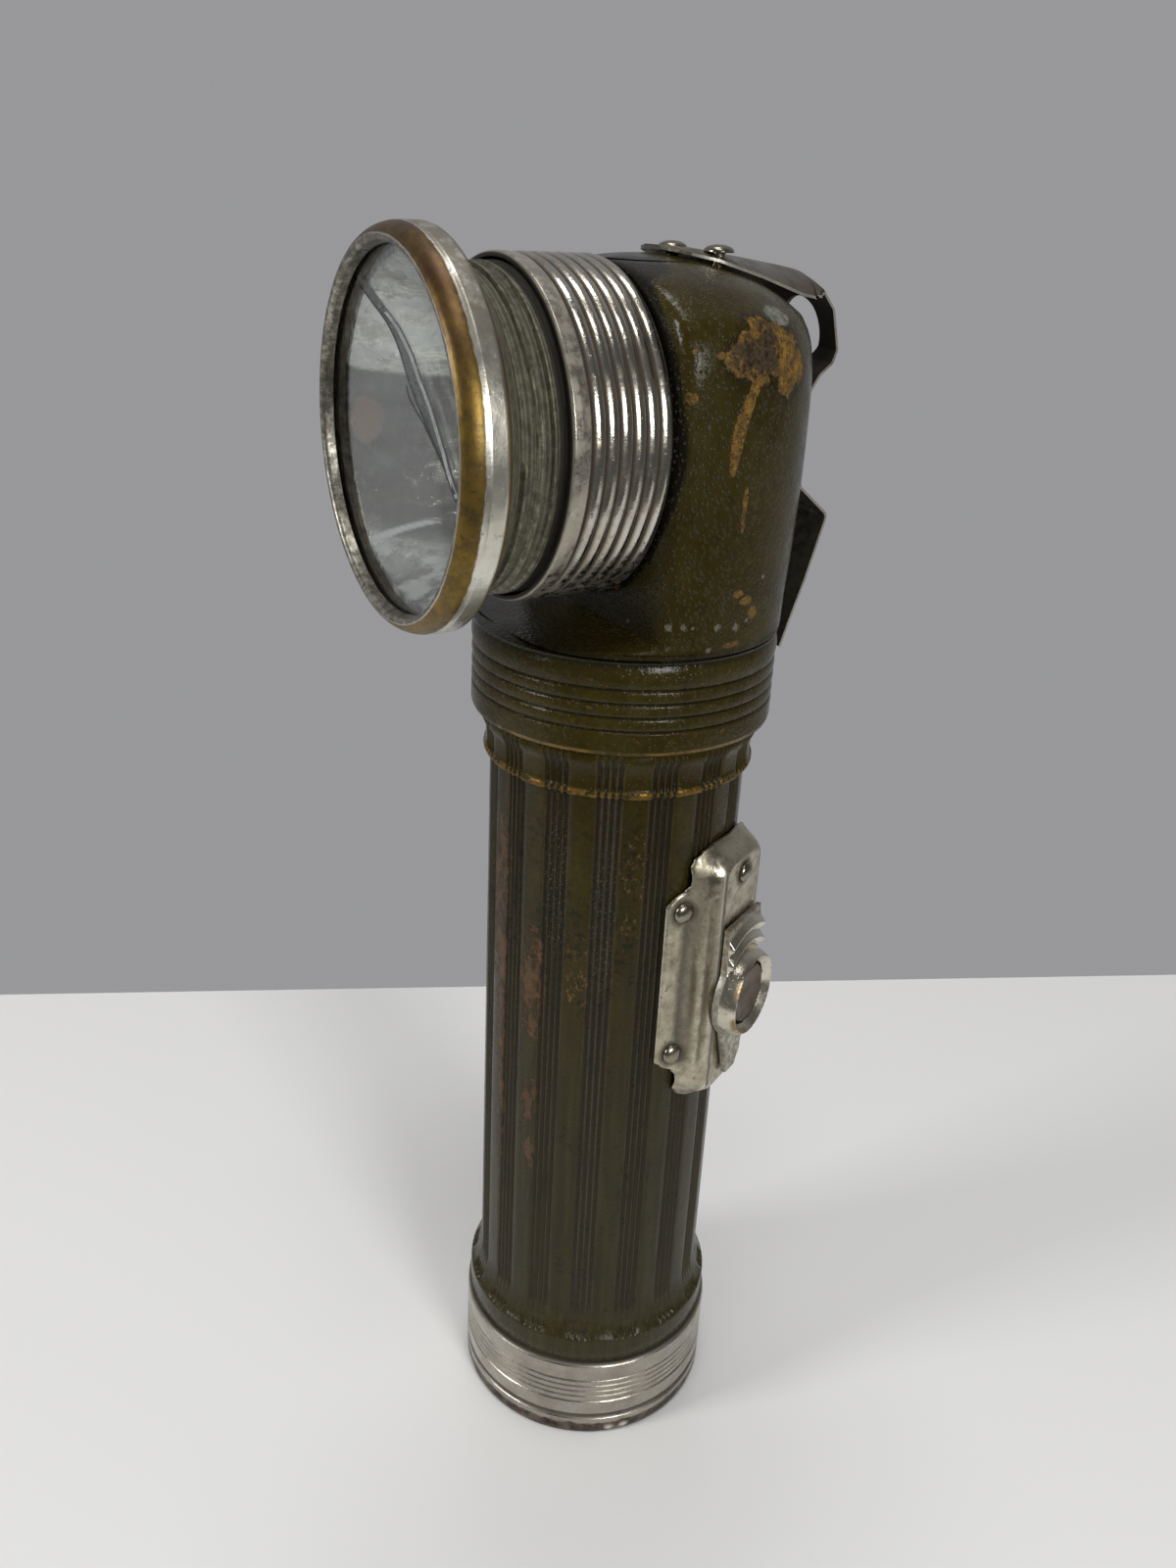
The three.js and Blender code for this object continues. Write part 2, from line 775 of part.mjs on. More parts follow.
// One cell's four pieces, standing on the given height
function cell(name, base) {
  const jacketBore = cellRadius - cellJacketWall;
  const canRadius = jacketBore - cellCardGap;
  const canTop = base + cellHeight - cellNubHeight - cellSealHeight;
  const sealBase = canTop + runGap;
  const sealTop = base + cellHeight - cellNubHeight;
  const nubTop = base + cellHeight;
  const nub = turned([
    [0, sealBase],
    [cellNubRadius, sealBase],
    [cellNubRadius, nubTop - cellNubEdge],
    [cellNubRadius - cellNubEdge, nubTop],
    [0, nubTop],
  ], hiddenSteps);
  const jacketBase = base + cellJacketInset;
  const jacket = tube(jacketBore, cellRadius, jacketBase, sealTop, hiddenSteps);
  const seal = tube(cellNubRadius + runGap, canRadius, sealBase, sealTop, hiddenSteps);
  return [
    piece(`${name}_can`, shape(bar(canRadius, base, canTop, hiddenSteps)), zinc),
    piece(`${name}_jacket`, shape(jacket), jacketCard),
    piece(`${name}_seal`, shape(seal), pitch),
    piece(`${name}_cap`, shape(nub), brass),
  ];
}

function cellLiner() {
  const top = cellsTop - linerInset;
  const wall = tube(linerBore, linerRadius, cellBase + linerInset, top, hiddenSteps);
  const windowHalf = flangeRivetSpread + rivetTailRadius + runGap;
  const windowDepth = Math.sqrt(linerBore ** 2 - windowHalf ** 2) - overrun;
  const window = block(
    [windowDepth, linerRadius + overrun],
    [-windowHalf, windowHalf],
    [switchHeight - plateHalfLength, switchHeight + plateHalfLength],
  );
  const slotHalf = leadWidth / 2 + runGap;
  const slot = block(
    [linerBore - overrun, linerRadius + overrun],
    [-slotHalf, slotHalf],
    [switchHeight, top + overrun],
  );
  const cuts = [window, slot].map((cut) => cut.rotateZ(switchAzimuth));
  return piece('cell_liner', shape(wall, { cuts }), card);
}

// Angles from the front at which the head's outlines have their points: across the flat,
// at its two corners and round the back
function headAngles(corner) {
  const inner = corner - headCornerTurn;
  const outer = corner + headCornerTurn;
  const angles = [];
  for (let i = 0; i <= headFlatSteps; i += 1) {
    angles.push(THREE.MathUtils.lerp(-inner, inner, i / headFlatSteps));
  }
  angles.push(corner);
  for (let i = 0; i <= headBackSteps; i += 1) {
    angles.push(THREE.MathUtils.lerp(outer, 2 * Math.PI - outer, i / headBackSteps));
  }
  angles.push(-corner);
  return angles;
}

// Outline of the head at one height. With a front, it is cut flat there with round corners.
function headRing(radius, height, front) {
  const cut = front > 0 ? front / Math.max(radius, front) : headFront / headRadius;
  return headAngles(Math.acos(Math.min(cut, headFlatShare))).map((angle) => {
    const facing = Math.cos(angle);
    let reach = radius;
    if (front > 0 && facing > 0 && radius > 0) {
      const flat = front / facing;
      reach = (radius ** -headCornerPower + flat ** -headCornerPower) ** (-1 / headCornerPower);
    }
    return new THREE.Vector3(reach * Math.sin(angle), -reach * facing, height);
  });
}

function headOutside() {
  const beadTop = collarTop - collarTopBead;
  const beadBase = beadTop - collarBeads * collarBeadPitch;
  const beads = ribs(collarRadius, collarBeadDepth, beadBase, collarBeadPitch, collarBeads);
  const collar = [
    [collarRadius - collarLip / 2, collarBase],
    [collarRadius, collarBase + collarLip],
    [collarRadius, beadBase - collarBeadPitch / 2],
    ...beads,
    [collarRadius, beadTop + collarTopBead / 4],
    [collarRadius, collarTop - collarTopBead / 4],
    [shelfRadiusShare * headRadius, collarTop],
    [shelfRadiusShare * headRadius, collarTop + shelfEdge],
  ];
  const rings = collar.map(([radius, height]) => headRing(radius, height, 0));
  for (const [radiusShare, heightShare] of headOutlineShares) {
    const height = collarTop + heightShare * headHeight;
    rings.push(headRing(radiusShare * headRadius, height, headFront));
  }
  rings.push(headRing(0, headTop, 0));
  return loft(rings);
}

function headInside() {
  const shelfRadius = shelfRadiusShare * headRadius - headWall;
  const rings = [
    headRing(collarBore, collarBase - overrun, 0),
    headRing(collarBore, collarTop, 0),
    headRing(shelfRadius, collarTop + shelfEdge - headWall, 0),
  ];
  for (const [radiusShare, heightShare] of headOutlineShares) {
    const height = collarTop + heightShare * headHeight - headWall;
    rings.push(headRing(radiusShare * headRadius - headWall, height, headFront - headWall));
  }
  rings.push(headRing(0, headTop - headWall, 0));
  return loft(rings);
}

// Places of the two rivets that hold the belt clip
const clipRivetPlaces = [-1, 1].map((side) => [side * clipRivetSpread, clipRivetReach]);

// Height of the dome's outside at a distance from the tube's axis
function domeHeight(radius) {
  const outline = [...headOutlineShares, [0, 1]].reverse();
  for (let i = 1; i < outline.length; i += 1) {
    const [inner, innerHeight] = outline[i - 1];
    const [outer, outerHeight] = outline[i];
    if (radius <= outer * headRadius) {
      const share = (radius - inner * headRadius) / ((outer - inner) * headRadius);
      return collarTop + headHeight * THREE.MathUtils.lerp(innerHeight, outerHeight, share);
    }
  }
  return collarTop;
}

function headShell() {
  const opening = alongLens(bar(spigotRadius + runGap, 0, sleeveFront, roundSteps));
  const holes = clipRivetPlaces.map(([x, y]) =>
    rivetHole(headTop - headHeight / 4, headTop + overrun).translate(x, y, 0));
  const hollow = shape(headOutside(), { cuts: [headInside(), opening, ...holes] });
  return piece('head_shell', hollow, enamel);
}

function lensSleeve() {
  const valley = sleeveRadius - sleeveRibDepth;
  const spigotBack = bracketReach + runGap;
  const ribBase = sleeveBack + sleeveLip;
  const bandBack = ribBase + sleeveRibs * sleeveRibPitch;
  const inside = sleeveBack + sleeveWall;
  const body = turned([
    [spigotRadius - spigotWall, spigotBack],
    [spigotRadius, spigotBack],
    [spigotRadius, sleeveBack],
    [valley, sleeveBack],
    ...ribs(sleeveRadius, sleeveRibDepth, ribBase, sleeveRibPitch, sleeveRibs),
    [sleeveRadius, bandBack + sleeveLip],
    [sleeveRadius, sleeveFront - sleeveLip],
    [valley, sleeveFront],
    [sleeveBore, sleeveFront],
    [sleeveBore, inside],
    [spigotRadius - spigotWall, inside],
  ], roundSteps);
  const threadBack = sleeveFront - sleeveThreadInset - sleeveThreadTurns * screwPitch;
  const start = neckBack + neckThreadInset - screwPitch / 2;
  const from = (threadBack - start) / screwPitch;
  const thread = threadRidge({
    wall: sleeveBore,
    depth: -neckThreadDepth,
    start,
    from,
    to: from + sleeveThreadTurns,
  });
  return piece('lens_sleeve', alongLens(shape(body, { joins: [thread] })), nickel);
}

function bezelRing() {
  const bandFront = rimBack + rimBand;
  const across = rimRollWidth / 2;
  const roll = [];
  for (let i = 1; i <= rimRollSteps; i += 1) {
    const angle = (i / rimRollSteps) * Math.PI / 2;
    const radius = rimRadius - across + across * Math.cos(angle);
    roll.push([radius, bandFront + rimRollDepth * Math.sin(angle)]);
  }
  const flareStart = neckFront + flareShift;
  const body = turned([
    [neckBore, neckBack],
    [neckRadius, neckBack],
    [neckRadius, neckFront],
    [rimRadius, rimBack],
    [rimRadius, bandFront],
    ...roll,
    [rimOpening, bezelReach - rimLip],
    [rimOpening, rimInside],
    [rimBore, rimInside],
    [rimBore, flareStart + (rimBore - neckRadius) / flareSlope],
    [neckBore, flareStart - neckWall / flareSlope],
  ], roundSteps);
  const thread = threadRidge({
    wall: neckRadius,
    depth: neckThreadDepth,
    start: neckBack + neckThreadInset,
    from: 0,
    to: neckThreadTurns,
  });
  return piece('bezel_ring', alongLens(shape(body, { joins: [thread] })), nickel);
}

// Radius inside the bezel's flare at a distance along the lens axis
const flareBore = (distance) => neckRadius + (distance - neckFront - flareShift) * flareSlope;

function lensGlass() {
  const disc = bar(glassRadius, glassBack, glassFront, roundSteps);
  return piece('lens_glass', alongLens(shape(disc)), clear);
}

function lensGasket() {
  const ring = tube(glassRadius - gasketWidth, glassRadius, gasketBack, gasketFront, roundSteps);
  return piece('lens_gasket', alongLens(shape(ring)), cork);
}

function reflector() {
  const holeFront = reflectorVertex + reflectorHole ** 2 / (4 * reflectorFocus);
  const bowl = [];
  for (let i = 0; i <= reflectorSteps; i += 1) {
    const radius = THREE.MathUtils.lerp(reflectorHole, reflectorMouth, i / reflectorSteps);
    bowl.push([radius, reflectorVertex + radius ** 2 / (4 * reflectorFocus)]);
  }
  const backFacing = bowl.map(([radius, distance]) => [radius + reflectorWall, distance]);
  const back = backFacing.reverse().filter(([, distance]) => distance < reflectorBack);
  const flange = Math.min(flareBore(reflectorBack) - runGap, glassRadius);
  const body = turned([
    [reflectorHole, holeFront - reflectorCollar],
    ...bowl,
    [flange, reflectorFront],
    [flange, reflectorBack],
    [reflectorMouth + reflectorWall, reflectorBack],
    ...back,
    [reflectorHole + reflectorWall, holeFront - reflectorCollar],
  ], hiddenSteps);
  return piece('reflector', alongLens(shape(body)), silvered);
}

function bulbGlass() {
  const neckFrontEnd = bulbGlassBack + bulbNeckShare * bulbGlassLength;
  const tip = bulbGlassBack + bulbGlassLength;
  const widest = bulbGlassBack + bulbWidestShare * bulbGlassLength;
  const outside = (wall) => {
    const points = [[bulbNeckRadius - wall, bulbGlassBack], [bulbNeckRadius - wall, neckFrontEnd]];
    for (let i = 0; i < bulbGlassSteps; i += 1) {
      const angle = (i / bulbGlassSteps) * Math.PI / 2;
      const radius = (bulbGlassRadius - wall) * Math.cos(angle);
      points.push([radius, widest + (tip - wall - widest) * Math.sin(angle)]);
    }
    points.push([0, tip - wall]);
    return points;
  };
  const points = [...outside(0), ...outside(bulbGlassWall).reverse()];
  return piece('bulb_glass', alongLens(shape(turned(points, hiddenSteps))), clear);
}

function bulbFilament() {
  const foot = bulbBaseFront + runGap;
  const top = foot + filamentRise;
  const post = (side) => bar(filamentRadius, foot, top, filamentSteps)
    .translate(side * filamentSpan / 2, 0, 0);
  const wire = alongX(bar(filamentRadius, -filamentSpan / 2, filamentSpan / 2, filamentSteps))
    .translate(0, 0, top);
  return piece('bulb_filament', alongLens(shape(post(-1), { joins: [post(1), wire] })), steel);
}

function bulbPieces() {
  const base = bar(bulbBaseRadius, bulbBaseBack, bulbBaseFront, hiddenSteps);
  const insulator = turned([
    [0, bulbInsulatorBack],
    [bulbTipRadius + runGap, bulbInsulatorBack],
    [bulbInsulatorRadius, bulbInsulatorBack + bulbInsulatorLength],
    [0, bulbInsulatorBack + bulbInsulatorLength],
  ], hiddenSteps);
  const tip = bar(bulbTipRadius, tipBack, tipBack + bulbTipLength, smallSteps);
  return [
    bulbGlass(),
    bulbFilament(),
    piece('bulb_base', alongLens(shape(base)), brass),
    piece('bulb_insulator', alongLens(shape(insulator)), pitch),
    piece('bulb_tip', alongLens(shape(tip)), zinc),
  ];
}

function bulbSocket() {
  const body = turned([
    [socketBore, socketBack],
    [socketFlangeRadius, socketBack],
    [socketFlangeRadius, socketBack + socketFlange],
    [socketBore + socketWall, socketBack + socketFlange],
    [socketBore + socketWall, socketBack + socketLength],
    [socketBore, socketBack + socketLength],
  ], hiddenSteps);
  return piece('bulb_socket', alongLens(shape(body)), brass);
}

function socketBracket() {
  const foot = tube(bracketEye, bracketFootRadius, bracketBase, bracketFootTop, hiddenSteps);
  const tongue = block(
    [-bracketWidth / 2, bracketWidth / 2],
    [-bracketEye - bracketSheet, -bracketReach + bracketSheet],
    [bracketBase, bracketFootTop],
  );
  const upright = block(
    [-bracketWidth / 2, bracketWidth / 2],
    [-bracketReach, -bracketReach + bracketSheet],
    [bracketBase, lensAxis + bracketTopRise],
  );
  const hole = alongLens(bar(bracketHole, 0, bracketReach + overrun, smallSteps));
  const bent = shape(foot, { joins: [tongue, upright], cuts: [hole] });
  return piece('socket_bracket', bent, brass);
}

function contactInsulator() {
  const radius = collarBore - runGap;
  const disc = tube(contactShank + runGap, radius, insulatorBase, insulatorTop, hiddenSteps);
  const half = leadWidth / 2 + runGap;
  const notch = block(
    [leadFace - stripSheet - runGap, collarBore],
    [-half, half],
    [insulatorBase - overrun, insulatorTop + overrun],
  ).rotateZ(switchAzimuth);
  return piece('contact_insulator', shape(disc, { cuts: [notch] }), fibre);
}

function batteryContact() {
  const headTopHeight = insulatorBase - rivetGap;
  const tailBase = insulatorTop + rivetGap;
  const body = turned([
    [0, headTopHeight - contactHead],
    [contactRadius, headTopHeight - contactHead],
    [contactRadius, headTopHeight],
    [contactShank, headTopHeight],
    [contactShank, tailBase],
    [contactTailRadius, tailBase],
    [contactTailRadius, tailBase + contactTail],
    [0, tailBase + contactTail],
  ], smallSteps);
  return piece('battery_contact', shape(body), brass);
}

// Angle strip from an upright and a foot, bent from one sheet, in a Y and Z outline
function tipContactStrip() {
  const back = -stripReach + stripSheet;
  const top = lensAxis + stripRise;
  const outline = [
    [-stripReach, stripBase],
    [-stripReach + stripFoot, stripBase],
    [-stripReach + stripFoot, stripBase + stripSheet],
    [back, stripBase + stripSheet],
    [back, top],
    [-stripReach, top],
  ];
  const strip = facingX(prism(outline, -stripWidth / 2, stripWidth / 2));
  return piece('tip_contact_strip', shape(strip), brass);
}

function leadStrip() {
  const back = leadFace - stripSheet;
  const foot = stripBase + stripSheet;
  const outline = [
    [leadFace, switchHeight - leadDrop],
    [leadFace, foot],
    [leadFace - leadFoot, foot],
    [leadFace - leadFoot, stripBase],
    [back, stripBase],
    [back, switchHeight - leadDrop],
  ];
  const strip = prism(outline, -leadWidth / 2, leadWidth / 2).rotateX(Math.PI / 2);
  return piece('lead_strip', shape(strip), brass);
}

// Points across the clip at each station of its path, for its inner or its outer face
function clipFace(stations, lift) {
  return stations.map((station, i) => {
    const before = stations[Math.max(i - 1, 0)];
    const after = stations[Math.min(i + 1, stations.length - 1)];
    const along = new THREE.Vector2(after.y - before.y, after.z - before.z).normalize();
    const out = new THREE.Vector2(-along.y, along.x);
    const row = [];
    for (let j = 0; j <= clipAcrossSteps; j += 1) {
      const share = (2 * j) / clipAcrossSteps - 1;
      const height = lift - station.camber * share ** 2;
      row.push(new THREE.Vector3(
        share * clipWidth / 2,
        station.y + out.x * height,
        station.z + out.y * height,
      ));
    }
    return row;
  });
}

function beltClip() {
  const stations = clipPathShares.map(([reach, height, camber]) => ({
    y: reach * headRadius + runGap,
    z: collarTop + height * headHeight + runGap,
    camber: camber * clipCamber,
  }));
  const inner = clipFace(stations, 0);
  const outer = clipFace(stations, clipSheet);
  const strip = loft(inner.map((row, i) => [...row, ...outer[i].reverse()]));
  const holeHeight = collarTop + clipHoleShare * headHeight;
  const hangHole = bar(clipHoleRadius, headRadius, 2 * headRadius, hiddenSteps)
    .rotateX(-Math.PI / 2).translate(0, 0, holeHeight);
  const holes = clipRivetPlaces.map(([x, y]) =>
    rivetHole(headTop - headHeight / 4, headTop + headHeight / 4).translate(x, y, 0));
  return piece('belt_clip', shape(strip, { cuts: [hangHole, ...holes] }), nickel);
}

function clipRivets() {
  const names = ['clip_rivet_right', 'clip_rivet_left'];
  const headBase = headTop + runGap + clipSheet;
  const tailReach = Math.hypot(clipRivetSpread, clipRivetReach) + rivetTailRadius;
  const tailTop = domeHeight(tailReach + headWall) - headWall - rivetGap;
  return clipRivetPlaces.map(([x, y], i) => {
    const body = shape(rivet(clipRivetHeadRadius, headBase, tailTop));
    const mesh = piece(names[i], body, nickel);
    mesh.position.set(x, y, 0);
    return mesh;
  });
}

// Rounded rectangle across the switch at a distance out of the tube
function channelRing(halfWidth, halfLength, corner, distance) {
  const ring = [];
  const signs = [[1, 1], [-1, 1], [-1, -1], [1, -1]];
  signs.forEach(([across, up], quarter) => {
    for (let i = 0; i < 3; i += 1) {
      const angle = (quarter + i / 2) * Math.PI / 2;
      ring.push(new THREE.Vector3(
        distance,
        across * (halfWidth - corner) + corner * Math.cos(angle),
        switchHeight + up * (halfLength - corner) + corner * Math.sin(angle),
      ));
    }
  });
  return ring;
}

// Splayed block from inside the tube's wall to a distance out of it
function channelBlock(inset, top) {
  const foot = caseBore;
  const splay = channelSplay * (channelFace - foot) / channelRise;
  const width = channelHalfWidth - inset;
  const length = channelHalfLength - inset;
  return loft([
    channelRing(width + splay, length + splay, channelCorner, foot),
    channelRing(width, length, channelCorner, top),
  ]);
}

// The flange's whole outline, across the switch and up
function flangeOutline() {
  const quarter = flangeOutlineShares.map(([across, up]) => [
    across * flangeHalfWidth,
    up * plateHalfLength,
  ]);
  const half = [...quarter, ...quarter.map(([across, up]) => [across, -up]).reverse()];
  const otherHalf = half.slice(1, -1).map(([across, up]) => [-across, up]).reverse();
  return [...half, ...otherHalf].map(([across, up]) => [across, up + switchHeight]);
}

function switchPlate() {
  const span = plateHalfLength * 2;
  const wrap = tube(flangeInside, flangeOutside, switchHeight - span, switchHeight + span, roundSteps);
  const stamp = facingX(prism(flangeOutline(), 0, channelFace));
  const flange = toGeometry(toSolid(wrap).intersect(toSolid(stamp)));
  const bore = bar(flangeInside, switchHeight - span, switchHeight + span, roundSteps);
  const slotHalf = shankHalfWidth + runGap;
  const slot = block(
    [channelInside - overrun, channelFace + overrun],
    [-slotHalf, slotHalf],
    [
      bossMiddle - shankHalfLength - runGap,
      bossMiddle + shankHalfLength + sliderTravel + runGap,
    ],
  );
  const rivetHoles = flangeRivetPlaces().map(([angle, height]) =>
    alongX(rivetHole(caseRadius, channelFace)).rotateZ(angle).translate(0, 0, height));
  rivetHoles.push(alongX(rivetHole(caseRadius, channelFace + overrun))
    .translate(0, 0, switchHeight + channelRivetRise));
  const channel = shape(channelBlock(0, channelFace), { cuts: [bore] });
  const cuts = [channelBlock(plateSheet, channelInside), slot, ...rivetHoles];
  return piece('switch_plate', shape(flange, { joins: [channel], cuts }), nickel);
}

function switchRivets() {
  const names = ['plate_rivet_1', 'plate_rivet_2', 'plate_rivet_3', 'plate_rivet_4'];
  const meshes = flangeRivetPlaces().map(([angle, height], i) => {
    const tailTop = caseBore * Math.cos(rivetTailRadius / caseBore) - rivetGap;
    const body = rivet(rivetHeadRadius, flangeOutside + rivetGap, tailTop);
    const mesh = piece(names[i], alongX(shape(body)), nickel);
    mesh.rotation.z = angle;
    mesh.position.z = height;
    return mesh;
  });
  const body = rivet(rivetHeadRadius, channelFace + rivetGap, channelInside - rivetGap);
  const channelRivet = piece('channel_rivet', alongX(shape(body)), nickel);
  channelRivet.position.z = switchHeight + channelRivetRise;
  return [...meshes, channelRivet];
}

function switchSlider() {
  const top = switchHeight + sliderTop;
  const outline = [
    [-sliderHalfWidth, top],
    [-sliderHalfWidth, bossMiddle - bossFootRadius / 2],
    [-sliderTailHalfWidth, switchHeight - sliderTail],
    [sliderTailHalfWidth, switchHeight - sliderTail],
    [sliderHalfWidth, bossMiddle - bossFootRadius / 2],
    [sliderHalfWidth, top],
  ];
  const base = facingX(prism(outline, sliderBack, sliderFace));
  const boss = alongX(turned([
    [0, sliderBack],
    [bossFootRadius, sliderBack],
    [bossFootRadius, sliderFace],
    [bossRadius, bossTop],
    [0, bossTop],
  ], hiddenSteps)).translate(0, 0, bossMiddle);
  const joins = [boss];
  for (let i = 0; i < sliderRibs; i += 1) {
    const height = top - sliderRibInset - i * sliderRibPitch;
    const rib = bar(sliderRibRadius, -sliderHalfWidth, sliderHalfWidth, smallSteps);
    joins.push(rib.rotateX(Math.PI / 2).translate(sliderFace, 0, height));
  }
  joins.push(block(
    [shankFootOut - shankFootSheet / 2, sliderFace],
    [-shankHalfWidth, shankHalfWidth],
    [bossMiddle - shankHalfLength, bossMiddle + shankHalfLength],
  ));
  joins.push(block(
    [shankFootIn, shankFootOut],
    [-shankFootHalfWidth, shankFootHalfWidth],
    [bossMiddle - shankFootHalfLength, bossMiddle + shankFootHalfLength],
  ));
  const recess = alongX(bar(bossRecess, sliderFace, bossTop + overrun, hiddenSteps));
  const bore = alongX(bar(stemRadius + runGap, stemEnd, bossTop, smallSteps));
  const cuts = [recess, bore].map((cut) => cut.translate(0, 0, bossMiddle));
  return piece('switch_slider', shape(base, { joins, cuts }), nickel);
}

function signalButton() {
  const radius = bossRecess - runGap;
  const body = turned([
    [0, stemEnd],
    [stemRadius, stemEnd],
    [stemRadius, stemCollarIn],
    [stemCollarRadius, stemCollarIn],
    [stemCollarRadius, stemCollarOut],
    [stemRadius, stemCollarOut],
    [stemRadius, buttonBack],
    [radius, buttonBack],
    [radius, buttonFace],
    [radius * buttonDishShare, buttonFace],
    [0, buttonFace - buttonDish],
  ], hiddenSteps);
  const mesh = piece('signal_button', alongX(shape(body)), brass);
  mesh.position.z = bossMiddle;
  return mesh;
}

function tubePieces() {
  return [
    endCap(),
    batterySpring(),
    batteryCase(),
    cellLiner(),
    ...cell('lower_cell', cellBase),
    ...cell('upper_cell', upperCellBase),
  ];
}

function headPieces() {
  return [
    headShell(),
    contactInsulator(),
    batteryContact(),
    socketBracket(),
    tipContactStrip(),
    bulbSocket(),
    ...bulbPieces(),
    beltClip(),
    ...clipRivets(),
  ];
}

function lensPieces() {
  return [lensSleeve(), bezelRing(), lensGlass(), lensGasket(), reflector()];
}

// The switch and the lead behind it, built facing along X and turned to their place
function switchPieces() {
  const group = new THREE.Group();
  group.rotation.z = switchAzimuth;
  group.add(switchPlate(), ...switchRivets(), switchSlider(), signalButton(), leadStrip());
  return group;
}

const flashlight = new THREE.Group();
flashlight.add(...tubePieces(), ...headPieces(), ...lensPieces(), switchPieces());

export default flashlight;
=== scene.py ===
"""Looks of the angle flashlight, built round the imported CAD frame.

Lengths in this file are millimetres and are turned into metres where a mesh, light or
camera is made. The tube stands on Z, the lens looks towards -Y and the clip is at +Y.
"""

import math

import bmesh
import bpy
from mathutils import Matrix, Vector


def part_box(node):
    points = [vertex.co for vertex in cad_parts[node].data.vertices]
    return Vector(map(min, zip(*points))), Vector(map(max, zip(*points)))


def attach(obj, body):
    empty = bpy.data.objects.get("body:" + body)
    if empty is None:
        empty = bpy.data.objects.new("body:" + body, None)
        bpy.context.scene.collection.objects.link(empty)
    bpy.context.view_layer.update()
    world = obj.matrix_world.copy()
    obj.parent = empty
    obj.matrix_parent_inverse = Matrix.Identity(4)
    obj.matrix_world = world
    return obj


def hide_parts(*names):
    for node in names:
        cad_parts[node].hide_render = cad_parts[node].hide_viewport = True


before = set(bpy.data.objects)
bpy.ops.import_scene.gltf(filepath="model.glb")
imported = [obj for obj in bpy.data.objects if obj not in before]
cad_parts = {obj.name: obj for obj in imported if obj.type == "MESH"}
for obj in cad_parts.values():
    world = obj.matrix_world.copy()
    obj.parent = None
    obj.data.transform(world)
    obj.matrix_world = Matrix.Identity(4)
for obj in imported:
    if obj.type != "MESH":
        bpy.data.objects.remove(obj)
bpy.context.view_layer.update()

MM = 0.001
TURN = 2 * math.pi

# Levels and radii shared by several pieces, as in the CAD model
LENS_AXIS = 166.45
CASE_RADIUS = 19.0
CASE_BORE = 18.4
SKIRT_RADIUS = 20.8
SKIRT_BASE = 16.25
SKIRT_TOP = 20.85
SHOULDER_TOP = 26.55
RING_BASE = 119.4
COLLAR_BASE = 126.9
COLLAR_RADIUS = 21.9
BEADS_BASE = 130.3
CASE_TOP = 134.0
COLLAR_TOP = 139.0
LAP_RADIUS = 20.8
SHEET = 0.6
HEAD_RADIUS = 22.9
HEAD_HEIGHT = 49.3
HEAD_FRONT = 7.5
HEAD_WALL = 0.7
SWITCH_ANGLE = math.radians(28.5)
SWITCH_HEIGHT = 88.8
BOSS_MIDDLE = 85.6
FLANGE_FACE = 19.9
CHANNEL_FACE = 22.6
SLIDER_BACK = 22.9
SLIDER_FACE = 23.7
BOSS_TOP = 26.4
FLUTE_GROUPS = 16
FLUTES = 4
FLUTE_PITCH = 0.95
FLUTE_HALF = FLUTES * FLUTE_PITCH / 2
FLUTE_DEPTH = 0.3
CAP_RADIUS = 21.3
SLEEVE_RADIUS = 21.6

# Rivets: their domes, and where they sit on the clip and on the switch plate
RIVET_RISE = 0.95
RIVET_SHANK = 0.9
CLIP_RIVET_RADIUS = 2.0
CLIP_RIVET_ACROSS = 5.5
CLIP_RIVET_BACK = 7.5
CLIP_RIVET_BASE = 188.75
CLIP_RIVET_TAIL = 186.6
PLATE_RIVET_RADIUS = 1.7
PLATE_RIVET_GAP = 0.1
PLATE_RIVET_ARC = math.asin(9 / FLANGE_FACE)
PLATE_RIVET_UP = 12.2
CHANNEL_RIVET_UP = 16.6

# Outline of the head above its collar, in shares of its radius and height
HEAD_OUTLINE = [
    (0.965, 0.057), (0.983, 0.22), (1, 0.43), (1, 0.67), (0.974, 0.79),
    (0.921, 0.852), (0.86, 0.882), (0.66, 0.937), (0.4, 0.977), (0.2, 0.994), (0, 1),
]

# Belt clip from its rivets to its foot: shares of the head's radius and height, and camber
CLIP_PATH = [
    (0.02, 1.002, 0.3), (0.262, 0.997, 0.42), (0.568, 0.98, 0.8), (0.873, 0.962, 1.3), (1, 0.953, 1.3),
    (1.07, 0.935, 0.95), (1.112, 0.87, 0.3), (1.157, 0.763, 0.15), (1.135, 0.726, 0.2), (1.057, 0.69, 0.3),
    (1.004, 0.647, 0.34), (1.004, 0.395, 0.34), (1.222, 0.3, 0.1), (1.105, 0.112, 0.1), (1.02, -0.014, 0.17),
    (0.967, -0.09, 0.17),
]

